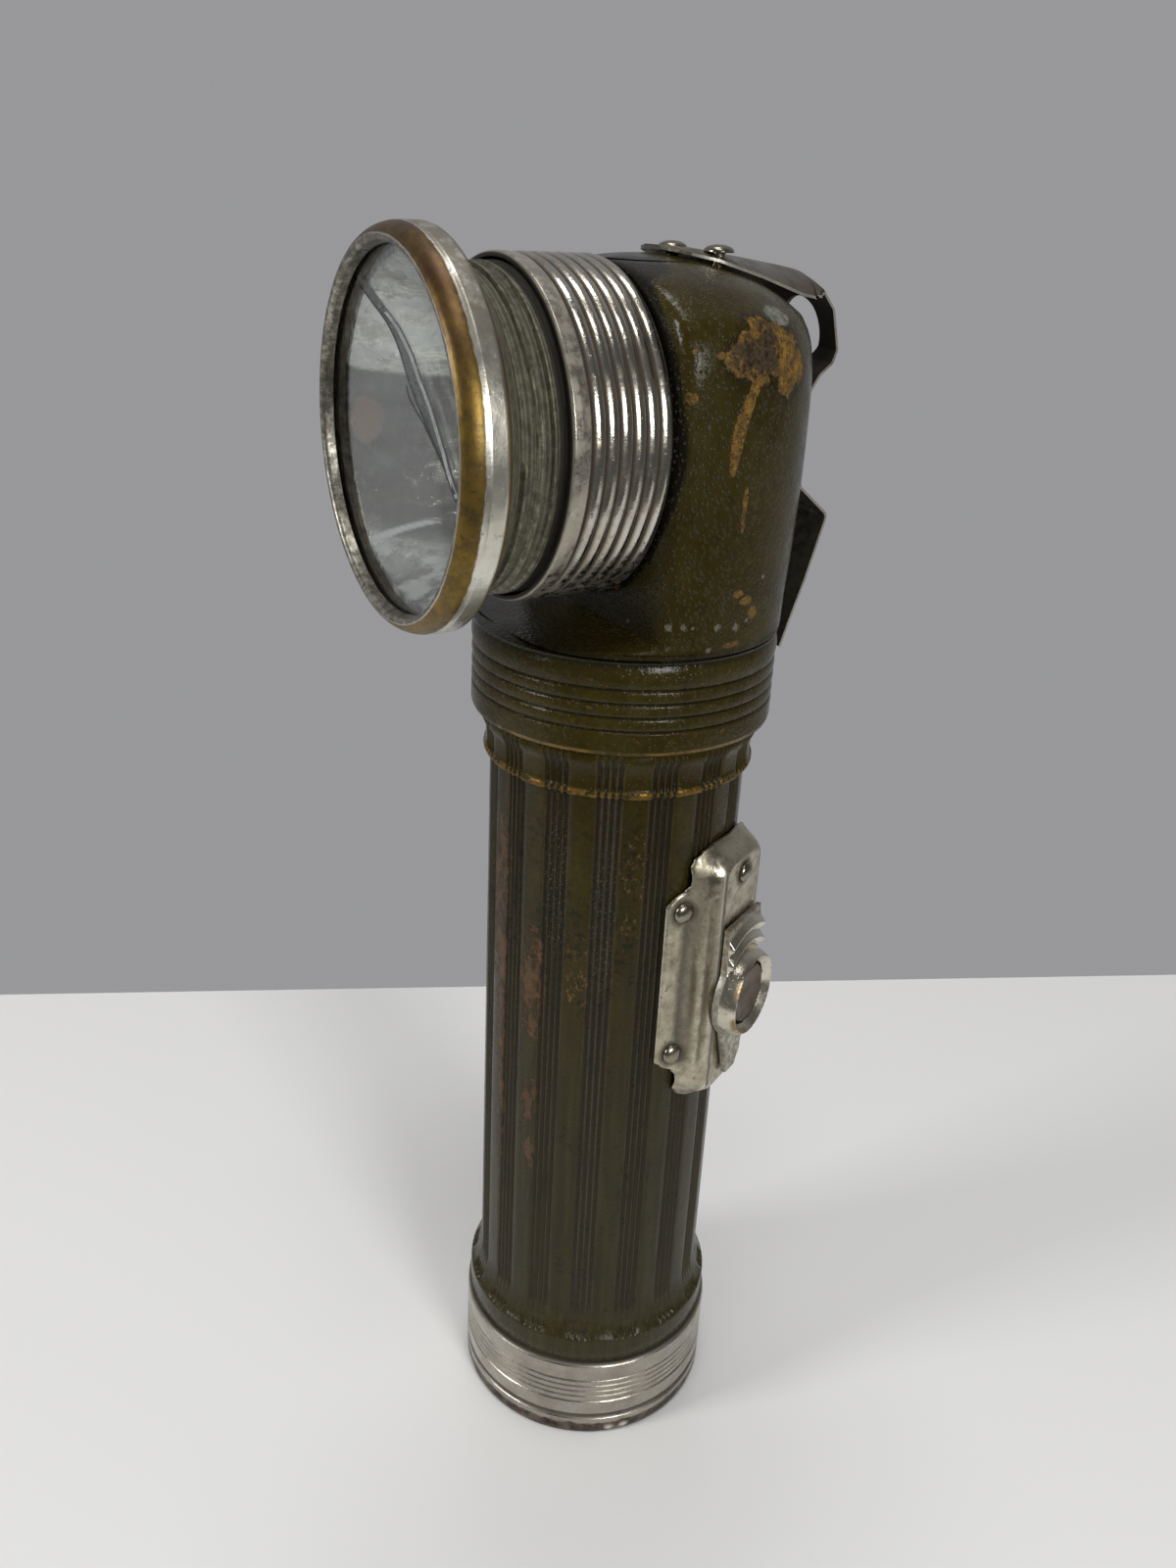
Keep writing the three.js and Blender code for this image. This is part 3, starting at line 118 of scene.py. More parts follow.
# The lens's crack: its two edges and a hairline beside it, across and up from the lens axis
CRACK_LEFT = [
    (-15.2, 18.19), (-11.15, 16.15), (-7.51, 14.71), (-3.97, 13.32), (-1.78, 12.17), (0.06, 10.9),
    (1.86, 9.08), (3.34, 7.35), (5.7, 5.08), (7.46, 3.76), (9.2, 2.45), (11.21, 0.87),
    (13.19, -0.69), (15.15, -2.34), (17.08, -3.86),
]
CRACK_RIGHT = [
    (-13.41, 18.53), (-6.79, 15.68), (-3.29, 14.28), (0.13, 12.91), (2.54, 11.49), (4.61, 10.06),
    (6.06, 8.58), (7.51, 7.21), (9.8, 5.21), (11.22, 3.65), (12.62, 2), (14.02, 0.35),
    (15.14, -1.23), (16.52, -2.75), (17.9, -4.04),
]
CRACK_HAIR = [
    (3, 6.29), (3.89, 5.05), (5.68, 3.95), (7.74, 2.9), (9.48, 1.83), (11.49, 0.47), (13.19, -0.8),
    (14.87, -2.28), (16.53, -3.75), (17.91, -4.93),
]

# Colours
OLIVE = (0.0265, 0.019, 0.0026)
OLIVE_PALE = (0.036, 0.028, 0.0052)
OLIVE_DARK = (0.014, 0.0105, 0.0028)
FADED = (0.039, 0.034, 0.014)
FADED_DARK = (0.023, 0.019, 0.008)
DIM = (0.02, 0.018, 0.01)
STRIPE = (0.021, 0.0165, 0.0085)
STRIPE_PALE = (0.042, 0.03, 0.0155)
RIDGE = (0.075, 0.066, 0.042)
SOOT = (0.01, 0.009, 0.005)
FLUTE_DIRT = (0.01, 0.0085, 0.006)
DUST = (0.16, 0.15, 0.12)
BRASS = (0.26, 0.155, 0.036)
BRASS_DARK = (0.1, 0.055, 0.012)
COPPER = (0.098, 0.05, 0.026)
COPPER_DARK = (0.07, 0.04, 0.018)
COPPER_GOLD = (0.14, 0.08, 0.018)
NICKEL = (0.56, 0.54, 0.48)
NICKEL_WARM = (0.47, 0.43, 0.34)
TARNISH = (0.11, 0.072, 0.036)
# Dark colour for dirt and for painted shade
DIRT_SHADE_TONE = (0.022, 0.018, 0.011)

# Worn places, as degrees round the piece, height, half-width and half-height
RUBBED_CASE = [
    (-89, 98, 2.4, 13), (-87, 80, 1.4, 12), (-86, 60, 1.3, 9), (-66, 87, 2.4, 9), (-65, 66, 1.6, 4),
    (-64, 56, 1.0, 3), (-44, 91, 2.3, 6), (-20.5, 108.5, 2.2, 5), (-22, 98, 1.2, 4), (150, 78, 2.6, 20),
    (105, 62, 2.2, 12), (-150, 96, 2.3, 13), (-127, 60, 2.0, 10), (60, 48, 2.2, 6),
]
CRUSTED_CASE = [(-55, 104, 2.2, 12), (-33, 100, 2.0, 12)]
HEAD_CHIP = [
    (87.5, 177.4, 1.3, 1.3), (91.5, 177.6, 2.3, 2.4), (96, 178.6, 2.4, 2.8), (101, 179.6, 2.8, 2.8),
    (107, 178.9, 2.8, 3.8), (113, 177.2, 2.6, 3.8), (118, 176.4, 1.9, 2.4), (111, 174.8, 1.8, 1.6),
    (98.5, 175.6, 1.6, 1.5),
]
HEAD_DRIP = [
    (96.6, 174.6, 0.8, 1.5), (95.3, 173.2, 0.6, 1.5), (93.8, 172.0, 0.75, 1.6), (92.5, 170.6, 0.95, 1.7),
    (91.6, 169.2, 1.0, 1.8), (91.0, 167.8, 0.95, 1.8), (90.5, 166.4, 0.8, 1.8), (90.1, 165.2, 0.6, 1.4),
]
HEAD_SMALL_CHIPS = [
    (96.4, 160.6, 0.45, 1.6), (96.2, 158.2, 0.35, 1.5), (98, 148.6, 1.0, 0.6), (102.5, 147.4, 1.1, 0.6),
    (107, 145.6, 1.0, 0.8), (98.5, 141.6, 1.5, 0.4), (50, 147.4, 1.3, 0.7), (74.6, 173.2, 0.7, 0.7),
    (83.4, 178.0, 0.7, 0.5), (75, 178.4, 0.4, 0.4), (200, 171, 2.6, 3.4), (206, 166, 1.4, 2.2),
    (250, 150, 1.6, 2.4), (262, 176, 1.8, 1.6), (232, 183, 2.2, 1.2),
]
HEAD_CHIP_CORE = [(94, 178.2, 2.2, 2.0), (101, 177.9, 2.4, 2.6), (103.5, 180.2, 1.5, 1.8)]
HEAD_PALE_DOTS = [
    (73, 144.8, 0.45, 0.45), (78, 144.8, 0.4, 0.4), (81.4, 144.6, 0.25, 0.25), (91, 144.4, 0.45, 0.45),
    (99, 144.0, 0.5, 0.5), (88.2, 141.4, 0.35, 0.35), (104, 144.6, 0.3, 0.3), (60, 143.6, 0.3, 0.3),
    (110, 150.2, 0.3, 0.3),
]

# Dents in the cap's foot, as degrees round the tube, height and width
CAP_DENTS = [(-27.5, 1.1, 0.9), (-19.5, 1.2, 1.0), (-68, 1.4, 0.6), (60, 1.0, 0.8), (170, 1.3, 0.9)]
DENT_DEPTH = 0.22


# Outlines

def soften(points, radius, steps=4):
    """A line of (a, b) points with its inner corners rounded. A point may carry its own radius."""
    done = [points[0][:2]]
    for before, corner, after in zip(points, points[1:], points[2:]):
        here = Vector(corner[:2])
        back = Vector(before[:2]) - here
        on = Vector(after[:2]) - here
        wanted = corner[2] if len(corner) > 2 else radius
        if wanted <= 0 or back.length < 1e-6 or on.length < 1e-6:
            done.append(tuple(here))
            continue
        half = max(1e-3, back.angle(on) / 2)
        reach = min(wanted / math.tan(half), 0.48 * back.length, 0.48 * on.length)
        start, end = here + back.normalized() * reach, here + on.normalized() * reach
        for i in range(steps + 1):
            t = i / steps
            done.append(tuple(start * (1 - t) ** 2 + here * 2 * t * (1 - t) + end * t ** 2))
    done.append(points[-1][:2])
    return done


def smooth_line(points, steps=6):
    """A curve through the points, each with any number of values."""
    def value(i):
        return points[min(max(i, 0), len(points) - 1)]

    line = []
    for i in range(len(points) - 1):
        for j in range(steps):
            t = j / steps
            weights = (
                -0.5 * t + t * t - 0.5 * t ** 3,
                1 - 2.5 * t * t + 1.5 * t ** 3,
                0.5 * t + 2 * t * t - 1.5 * t ** 3,
                -0.5 * t * t + 0.5 * t ** 3,
            )
            near = [value(i + k - 1) for k in range(4)]
            line.append(tuple(sum(w * p[c] for w, p in zip(weights, near)) for c in range(len(points[0]))))
    line.append(tuple(points[-1]))
    return line


def beads(radius, depth, start, pitch, count, steps=8, power=2.4):
    """(radius, height) points over round beads; a low power gives wide valleys."""
    line = []
    for bead in range(count):
        for i in range(steps):
            across = 2 * i / steps - 1
            lift = math.sqrt(max(0.0, 1 - abs(across) ** power))
            line.append((radius - depth + depth * lift, start + (bead + i / steps) * pitch))
    line.append((radius - depth, start + count * pitch))
    return line


def smooth_max(a, b, soft):
    share = max(0.0, min(1.0, 0.5 + 0.5 * (a - b) / soft))
    return b + (a - b) * share + soft * share * (1 - share)


# Places

def on_tube(radius, angle, height):
    return (radius * math.cos(angle), radius * math.sin(angle), height)


def on_lens(radius, angle, distance):
    return (radius * math.cos(angle), -distance, LENS_AXIS + radius * math.sin(angle))


def on_switch(out, across, height):
    cosine, sine = math.cos(SWITCH_ANGLE), math.sin(SWITCH_ANGLE)
    return (out * cosine - across * sine, out * sine + across * cosine, height)


def head_reach(angle, radius, front):
    """Distance of the head's wall from the tube's axis, at an angle from the front."""
    facing = math.cos(angle)
    if facing <= 0 or front >= radius or radius <= 0:
        return radius
    return (radius ** -14 + (front / facing) ** -14) ** (-1 / 14)


def head_point(degrees, height):
    """A point on the head's side; degrees from the front towards +X."""
    share = (height - COLLAR_TOP) / HEAD_HEIGHT
    outline = [(0.965, 0.0)] + HEAD_OUTLINE
    radius = HEAD_RADIUS
    for (r0, h0), (r1, h1) in zip(outline, outline[1:]):
        if h0 <= share <= h1:
            radius = HEAD_RADIUS * (r0 + (r1 - r0) * (share - h0) / (h1 - h0))
    angle = math.radians(degrees)
    reach = head_reach(angle, radius, HEAD_FRONT)
    return (reach * math.sin(angle), -reach * math.cos(angle), height)


def case_spots(table):
    return [(on_tube(CASE_RADIUS, math.radians(a), z), (w, w, h)) for a, z, w, h in table]


def head_spots(table, grow=1.0):
    return [(head_point(a, z), (w * grow, w * grow, h * grow)) for a, z, w, h in table]


# Meshes

def skin(name, rings, loop=False, ends=False, sharp=35):
    """Mesh object over rings of points in millimetres. loop joins the last ring to the first."""
    bm = bmesh.new()
    rows = [[bm.verts.new([c * MM for c in point]) for point in ring] for ring in rings]
    count = len(rows[0])
    pairs = list(zip(rows, rows[1:]))
    if loop:
        pairs.append((rows[-1], rows[0]))
    for here, there in pairs:
        for j in range(count):
            k = (j + 1) % count
            bm.faces.new((here[j], here[k], there[k], there[j]))
    if ends:
        bm.faces.new(rows[0])
        bm.faces.new(rows[-1])
    bmesh.ops.remove_doubles(bm, verts=bm.verts, dist=2e-7)
    bmesh.ops.dissolve_degenerate(bm, edges=bm.edges, dist=1e-8)
    bmesh.ops.recalc_face_normals(bm, faces=bm.faces)
    mesh = bpy.data.meshes.new(name)
    bm.to_mesh(mesh)
    bm.free()
    shade(mesh, sharp)
    return put(bpy.data.objects.new(name, mesh))


def shade(mesh, sharp):
    """Shades a mesh smooth but for the edges that bend by more than sharp degrees."""
    mesh.shade_smooth()
    mesh.set_sharp_from_angle(angle=math.radians(sharp))


def put(item):
    """Puts an object, light or camera into the scene."""
    bpy.context.scene.collection.objects.link(item)
    return item


def circle(place, radius, distance, steps):
    """One ring of points round the axis that place works from."""
    return [place(radius, TURN * i / steps, distance) for i in range(steps)]


def lathe(name, outline, place, steps, sharp=35):
    """Closed ring or disc turned from a closed (radius, height) outline."""
    rings = [circle(place, max(radius, 0.0), height, steps) for radius, height in outline]
    on_axis = outline[0][0] <= 0 and outline[-1][0] <= 0
    return skin(name, rings, loop=not on_axis, sharp=sharp)


def cut(piece, cutter, sharp):
    """Takes the cutter out of the piece and removes the cutter."""
    modifier = piece.modifiers.new("cut", "BOOLEAN")
    modifier.operation = "DIFFERENCE"
    modifier.solver = "EXACT"
    modifier.object = cutter
    depsgraph = bpy.context.evaluated_depsgraph_get()
    mesh = bpy.data.meshes.new_from_object(piece.evaluated_get(depsgraph))
    piece.modifiers.clear()
    piece.data = mesh
    bpy.data.objects.remove(cutter)
    shade(mesh, sharp)
    return piece


def dress(piece, material, body, slot, *nodes):
    """Gives a new piece its material and body, and hides the nodes that it stands for. Its slot is not used.
    """
    piece.data.materials.clear()
    piece.data.materials.append(material)
    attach(piece, body)
    if nodes:
        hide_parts(*nodes)
    return piece


# Materials

class Value:
    """What a node gives out. Sums, products and the larger of two (|) are nodes as well."""

    def __init__(self, paint, socket):
        self.paint, self.socket = paint, socket

    def __add__(self, other):
        return self.paint.math("ADD", self, other)

    def __sub__(self, other):
        return self.paint.math("SUBTRACT", self, other)

    def __rsub__(self, other):
        return self.paint.math("SUBTRACT", other, self)

    def __mul__(self, other):
        return self.paint.math("MULTIPLY", self, other)

    def __truediv__(self, other):
        return self.paint.math("DIVIDE", self, other)

    def __or__(self, other):
        return self.paint.math("MAXIMUM", self, other)

    def __abs__(self):
        return self.paint.math("ABSOLUTE", self)

    def step(self, low, high):
        """0 below low, 1 above high and smooth between; low may be the larger."""
        bottom, top = (1.0, 0.0) if low > high else (0.0, 1.0)
        inputs = {"Value": self, "From Min": min(low, high), "From Max": max(low, high),
                  "To Min": bottom, "To Max": top}
        return self.paint.node("MapRange", inputs, "Result", interpolation_type="SMOOTHSTEP")

    def near(self, middle, reach):
        """1 where the value is the middle, falling to 0 at the reach."""
        return abs(self - middle).step(reach, 0.0)


def full(color):
    """A colour for a node: three numbers get an alpha of 1."""
    return color if isinstance(color, Value) else (*color, 1)


class Paint:
    """One node material, built up in layers. Its coordinates are the part's own, in millimetres."""

    def __init__(self, name, color=None, rough=0.5, metal=0.0):
        self.material = bpy.data.materials.new(name)
        self.material.use_nodes = True
        self.tree = self.material.node_tree
        self.tree.nodes.clear()
        self.place = self.vector("SCALE", self.node("TexCoord", output="Object"), scale=1 / MM)
        self.x, self.y, self.z = self.split(self.place)
        self.color, self.rough, self.metal, self.normal = color, rough, metal, None

    def link(self, value, socket):
        if isinstance(value, Value):
            self.tree.links.new(value.socket, socket)
        else:
            socket.default_value = value

    def node(self, kind, inputs=(), output=0, **settings):
        """A new node with its settings and inputs; gives one of its outputs."""
        node = self.tree.nodes.new("ShaderNode" + kind)
        for key, value in settings.items():
            setattr(node, key, value)
        for key, value in dict(inputs).items():
            self.link(value, node.inputs[key])
        return Value(self, node.outputs[output])

    def split(self, vector):
        node = self.tree.nodes.new("ShaderNodeSeparateXYZ")
        self.link(vector, node.inputs[0])
        return [Value(self, part) for part in node.outputs]

    def math(self, operation, a, b=0.0):
        return self.node("Math", {0: a, 1: b}, operation=operation)

    def vector(self, operation, a, b=None, scale=None):
        inputs = {0: a}
        if b is not None:
            inputs[1] = b
        if scale is not None:
            inputs["Scale"] = scale
        output = "Value" if operation == "LENGTH" else "Vector"
        return self.node("VectorMath", inputs, output, operation=operation)

    def noise(self, scale, detail=3.0, rough=0.5, seed=0.0, stretch=(1, 1, 1)):
        stretched = self.vector("MULTIPLY", self.place, stretch)
        place = self.vector("ADD", stretched, (seed, seed * 1.7, seed * 0.6))
        inputs = {"Vector": place, "Scale": scale, "Detail": detail, "Roughness": rough}
        return self.node("TexNoise", inputs, "Fac")

    def cloud(self, low, high, *noise, **more):
        """Noise as a mask, 0 below low and 1 above high. The rest says what noise it is."""
        return self.noise(*noise, **more).step(low, high)

    def shift(self, size, *noise, **more):
        """Noise round zero, to move the edges of a mask. The rest says what noise it is."""
        return (self.noise(*noise, **more) - 0.5) * size

    def tones(self, a, b, *cloud, **more):
        """Two colours in turn. The rest says what cloud parts them."""
        return self.mix(self.cloud(*cloud, **more), a, b)

    def specks(self, scale, size, seed=0.0):
        """Round spots at random places: 1 at their middles."""
        place = self.vector("ADD", self.place, (seed, seed * 1.3, seed * 0.7))
        return self.node("TexVoronoi", {"Vector": place, "Scale": scale}, "Distance").step(size, size * 0.55)

    def spots(self, places, wobble=0.0, soft=0.12):
        """1 inside any of the (centre, radii) ellipsoids, with edges moved by wobble."""
        least = None
        for centre, radii in places:
            shifted = self.vector("SUBTRACT", self.place, tuple(centre))
            length = self.vector("LENGTH", self.vector("DIVIDE", shifted, tuple(radii)))
            least = length if least is None else self.math("MINIMUM", least, length)
        return (least + wobble).step(1 + soft, 1 - soft)

    def mix(self, share, a, b):
        """Two colours mixed."""
        return self.node("Mix", {"Factor": share, "A": full(a), "B": full(b)}, "Result", data_type="RGBA")

    def blend(self, share, a, b):
        """Two numbers mixed."""
        return self.node("Mix", {"Factor": share, "A": a, "B": b}, "Result")

    def over(self, mask, color, rough=None, metal=None):
        """Lays a colour over what is there where the mask is 1, and a roughness and metal if given."""
        self.color = self.mix(mask, self.color, color)
        if rough is not None:
            self.rough = self.blend(mask, self.rough, rough)
        if metal is not None:
            self.metal = self.blend(mask, self.metal, metal)

    def bump(self, height, depth):
        inputs = {"Distance": depth * MM, "Strength": 1.0, "Height": height}
        if self.normal:
            inputs["Normal"] = self.normal
        self.normal = self.node("Bump", inputs)

    def done(self, **more):
        """The material, with its colour, roughness and metal; more sets other sockets by name."""
        inputs = {"Base Color": full(self.color), "Roughness": self.rough, "Metallic": self.metal}
        if self.normal:
            inputs["Normal"] = self.normal
        names = {"ior": "IOR", "alpha": "Alpha", "transmission": "Transmission Weight",
                 "specular": "Specular IOR Level"}
        inputs.update((names[key], value) for key, value in more.items())
        output = self.tree.nodes.new("ShaderNodeOutputMaterial")
        self.link(self.node("BsdfPrincipled", inputs), output.inputs[0])
        return self.material

    def tube_radius(self):
        return self.vector("LENGTH", self.vector("MULTIPLY", self.place, (1, 1, 0)))

    def lens_radius(self):
        """Distance from the lens axis."""
        shifted = self.vector("SUBTRACT", self.place, (0, 0, LENS_AXIS))
        return self.vector("LENGTH", self.vector("MULTIPLY", shifted, (1, 0, 1)))

    def lens_distance(self):
        """Distance in front of the tube's axis, along the lens axis."""
        return self.y * -1.0

    def switch_place(self):
        """Distance out of the tube and across the switch."""
        cosine, sine = math.cos(SWITCH_ANGLE), math.sin(SWITCH_ANGLE)
        return self.x * cosine + self.y * sine, self.y * cosine - self.x * sine

    def facing(self):
        """The parts of the face's own direction."""
        return self.split(self.node("NewGeometry", output="True Normal"))


def enamel(name):
    """The green enamel with its mottling and uneven gloss."""
    paint = Paint(name)
    paint.color = paint.tones(OLIVE, OLIVE_PALE, 0.35, 0.68, 0.11, 4, 0.6)
    paint.over(paint.cloud(0.5, 0.72, 0.55, 5, 0.65, seed=7) * 0.55, OLIVE_DARK)
    paint.rough = paint.blend(paint.cloud(0.35, 0.7, 0.35, 4, 0.6, seed=3), 0.15, 0.3)
    return paint


def old_brass(paint):
    return paint.mix(paint.noise(0.9, 3, seed=2), BRASS, BRASS_DARK)


def flute_masks(paint):
    """1 over the fluted stripes of the tube, and the wave of their valleys."""
    group = TURN / FLUTE_GROUPS
    turns = paint.math("ARCTAN2", paint.y, paint.x) / group
    offset = (paint.math("FRACT", turns) - 0.5) * (group * CASE_RADIUS)
    fluted = abs(offset).step(FLUTE_HALF + 0.25, FLUTE_HALF - 0.15)
    phase = (offset + FLUTE_HALF) * (math.pi / FLUTE_PITCH)
    return fluted, abs(paint.math("SINE", phase))


def case_stripes(paint, fluted, barrel, below_ring, low):
    """The fluted stripes have gone brown and the flats between them have faded."""
    streaks = paint.noise(1.1, 4, 0.65, seed=11, stretch=(1, 1, 0.03))
    faded = paint.mix(streaks.step(0.3, 0.7), FADED, FADED_DARK)
    paint.over(below_ring * (low * 0.9), faded)
    worn = paint.blend(paint.cloud(0.3, 0.6, 0.08, 3, 0.5, seed=21), 0.25, 0.75)
    brown = paint.mix(streaks.step(0.35, 0.65), STRIPE, STRIPE_PALE)
    paint.over(barrel * fluted * worn, brown)
    dim = barrel * paint.cloud(0.46, 0.64, 0.5, 4, 0.7, seed=61, stretch=(1, 1, 0.12))
    paint.over(dim * 0.65, DIM)


def case_rubbed(paint, barrel):
    """Patches on the flats rubbed through to copper, and soot over them. Gives the copper's mask."""
    rubbed = paint.spots(case_spots(RUBBED_CASE), paint.shift(2.2, 0.6, 6, 0.75, seed=5), soft=0.05)
    grain = paint.cloud(0.44, 0.49, 0.7, 6, 0.75, seed=9, stretch=(1, 1, 0.4))
    sparse = paint.cloud(0.53, 0.57, 1.2, 6, 0.8, seed=19, stretch=(1, 1, 0.6))
    copper = rubbed * barrel * paint.blend(paint.y.step(-15.8, -14.5), grain, sparse)
    tone = paint.tones(COPPER, COPPER_DARK, 0.42, 0.58, 0.45, 4, 0.6, seed=15)
    right = paint.y.step(-15.5, -13.5) * paint.cloud(0.42, 0.55, 1.2, 4, 0.7, seed=17)
    paint.over(copper * 0.9, paint.mix(right, tone, COPPER_GOLD))
    denser = paint.z.near(98, 20) * 0.09
    sooty = paint.noise(0.3, 5, 0.7, seed=31, stretch=(1, 1, 0.5)) + denser
    soot = sooty.step(0.53, 0.62) * barrel * paint.cloud(0.5, 0.58, 1.1, 5, 0.75, seed=33)
    paint.over(soot * 0.8, SOOT)
    return copper


def case_grooves(paint, fluted, valley):
    """Dirt in the flutes, which cross the ring as well, and lighter ridges. Gives the dirt's mask."""
    above_skirt = paint.z.step(24.5, 28)
    crossing = paint.z.step(21.5, 22.5) * paint.z.step(125.6, 125.0)
    fading = paint.blend(paint.z.step(30, 95), 0.3, 1.0)
    groove = crossing * fluted * valley.step(0.45, 0.9) * fading * above_skirt
    paint.over(groove * 0.68, FLUTE_DIRT)
    patchy = paint.cloud(0.36, 0.56, 0.5, 4, 0.7, seed=63, stretch=(1, 1, 0.15))
    ridge_line = fluted * above_skirt * valley.step(0.34, 0.1) * patchy
    paint.over(ridge_line * 0.45, RIDGE)
    return groove


def ring_brass(paint, groove):
    """Brass on the raised ring's lower edge, except over the flutes. Gives its mask."""
    radius = paint.tube_radius()
    rubbed_through = paint.cloud(0.42, 0.52, 0.5, 5, 0.7, seed=41, stretch=(1, 1, 2))
    edge_height = paint.z.step(119.35, 119.6) * paint.z.step(120.9, 120.5)
    edge = edge_height * radius.step(19.62, 19.82) * rubbed_through
    crumbled = paint.cloud(0.56, 0.62, 0.9, 4, 0.7, seed=43)
    crumbs = radius.step(20.3, 20.5) * paint.z.step(122, 124) * crumbled
    gold = (edge | crumbs * 0.6) * (0.95 - groove * 0.9)
    paint.over(gold, old_brass(paint))
    return gold


def case_enamel():
    """The tube's enamel, from its faded paint out to the dust."""
    paint = enamel("case_enamel")
    fluted, valley = flute_masks(paint)
    below_ring = paint.z.step(119.8, 119.0)
    barrel = paint.z.step(23, 26) * below_ring
    low = paint.z.step(112, 50)
    case_stripes(paint, fluted, barrel, below_ring, low)
    copper = case_rubbed(paint, barrel)
    gold = ring_brass(paint, case_grooves(paint, fluted, valley))
    crust = barrel * paint.spots(case_spots(CRUSTED_CASE)) * paint.specks(2.0, 0.3, seed=51) * fluted
    dust = paint.specks(0.9, 0.1, seed=3) * paint.cloud(0.44, 0.6, 0.2, 2, seed=8)
    paint.over((dust | crust) * 0.35, DUST)

    paint.metal = gold * 0.85
    bare = copper | gold
    paint.rough = paint.blend(bare, paint.rough, 0.42)
    paint.rough = paint.blend(barrel * low * 0.6, paint.rough, 0.36)
    paint.bump(paint.noise(1.8, 3, 0.6, seed=6), 0.05)
    paint.bump(paint.specks(1.6, 0.35, seed=53), 0.03)
    paint.bump(1 - bare, 0.06)
    return paint.done(specular=0.15)


def head_scuffs(paint):
    """Hazy scuffing over the middle of the side, and fine upright scratches."""
    haze = paint.spots([(head_point(116, 159.5), (8, 8, 9))], paint.shift(1.6, 0.6, 5, 0.7, seed=12), 0.5)
    paint.over(haze * 0.16, (0.08, 0.072, 0.048))
    scratches = paint.cloud(0.66, 0.72, 1.6, 2, 0.5, seed=14, stretch=(1, 1, 0.12))
    paint.over(scratches * 0.25, (0.075, 0.062, 0.028))


def head_painted_shade(paint):
    """Painted shade on the ledge above the collar, in the creases between the collar's beads and in the gap
    behind the lens sleeve.
    """
    ledge = paint.z.step(138.6, 139.6) * paint.z.step(141.4, 140.2)
    between = paint.tube_radius().step(21.85, 21.62) * paint.z.step(129.6, 130.2) * paint.z.step(139.2, 138.8)
    # Painted shade in the gap behind the lens sleeve, wider near the top
    gap = paint.lens_radius() - paint.z.step(171, 180) * 0.8
    behind = gap.step(22.3, 21.8) * paint.y.step(-1.0, -3.5)
    crease = ledge | between | behind * 1.5
    paint.over(paint.math("MINIMUM", crease, 1.5) * 0.64, (0.007, 0.006, 0.004))


def head_chips(paint):
    """Bare brown brass in the chips, with a dark core and rim. Gives their mask."""
    wobble = paint.shift(1.7, 0.45, 5, 0.65, seed=5)
    chip = paint.spots(head_spots(HEAD_CHIP), wobble, soft=0.08)
    drip = paint.spots(head_spots(HEAD_DRIP), wobble * 0.35, soft=0.08)
    small = paint.spots(head_spots(HEAD_SMALL_CHIPS), wobble, soft=0.15)
    chip = chip | drip | small * 0.8
    bare = paint.tones((0.215, 0.118, 0.018), (0.1, 0.054, 0.014), 0.4, 0.6, 0.7, 6, 0.8, seed=1)
    dark = paint.cloud(0.5, 0.58, 1.7, 5, 0.8, seed=5)
    paint.over(chip, paint.mix(dark * 0.8, bare, (0.022, 0.014, 0.008)), rough=0.5)
    core = paint.spots(head_spots(HEAD_CHIP_CORE), paint.shift(4.2, 0.8, 6, 0.8, seed=71), 0.3)
    deep = paint.tones((0.05, 0.035, 0.021), (0.01, 0.007, 0.005), 0.46, 0.56, 1.5, 5, 0.8, seed=73)
    paint.over(chip * (core * 0.9), deep)
    rim = paint.spots(head_spots(HEAD_CHIP, 1.25), wobble, soft=0.16) * (1 - chip)
    paint.over(rim * 0.7, (0.011, 0.008, 0.004))
    return chip


def head_brass(paint):
    """Brass along the collar's lower edge and here and there on its beads. Gives its mask."""
    radius = paint.tube_radius()
    patchy = paint.cloud(0.4, 0.54, 0.16, 4, 0.65, seed=44)
    lip = paint.z.step(127.55, 127.25) * radius.step(21.3, 21.6) * patchy
    crumbled = paint.cloud(0.6, 0.64, 0.5, 5, 0.75, seed=46, stretch=(1, 1, 2.2))
    crumbs = radius.step(21.7, 21.85) * paint.z.step(139, 137.5) * crumbled
    gold = (lip | crumbs * 0.7) * 0.9
    paint.over(gold, old_brass(paint))
    return gold


def head_pale_marks(paint):
    """Pale spot above the chip and small pale dots low on the side. Gives the spot's mask."""
    pale = paint.spots([(head_point(113.5, 182.2), (2.3, 2.3, 1.3))], paint.shift(0.5, 0.9, 3, seed=19))
    tone = paint.tones((0.17, 0.175, 0.14), (0.075, 0.075, 0.052), 0.4, 0.6, 0.8, 4, 0.7, seed=75)
    paint.over(pale, tone, rough=0.45)
    dots = paint.spots(head_spots(HEAD_PALE_DOTS), paint.shift(3.2, 2.2, 4, 0.7, seed=95), soft=0.3)
    paint.over(dots * 0.4, (0.26, 0.25, 0.2))
    return pale


def head_peel(paint):
    """Orange peel, strongest beside the lens sleeve, with painted highlights on the tops of its bumps."""
    beside_lens = paint.spots([(head_point(84, 168), (9, 12, 11))], soft=0.4)
    zone = beside_lens | paint.spots([(head_point(60, 150), (12, 12, 9))], soft=0.4)
    peel = paint.specks(1.5, 0.46, seed=9) * paint.blend(zone, 0.22, 1.0)
    # Painted highlights on the tops of the bumps
    peel_highlights = paint.specks(1.5, 0.3, seed=9) * paint.blend(zone, 0.1, 0.8)
    paint.over(peel_highlights * 0.45, (0.105, 0.095, 0.062))
    paint.bump(peel, 0.16)


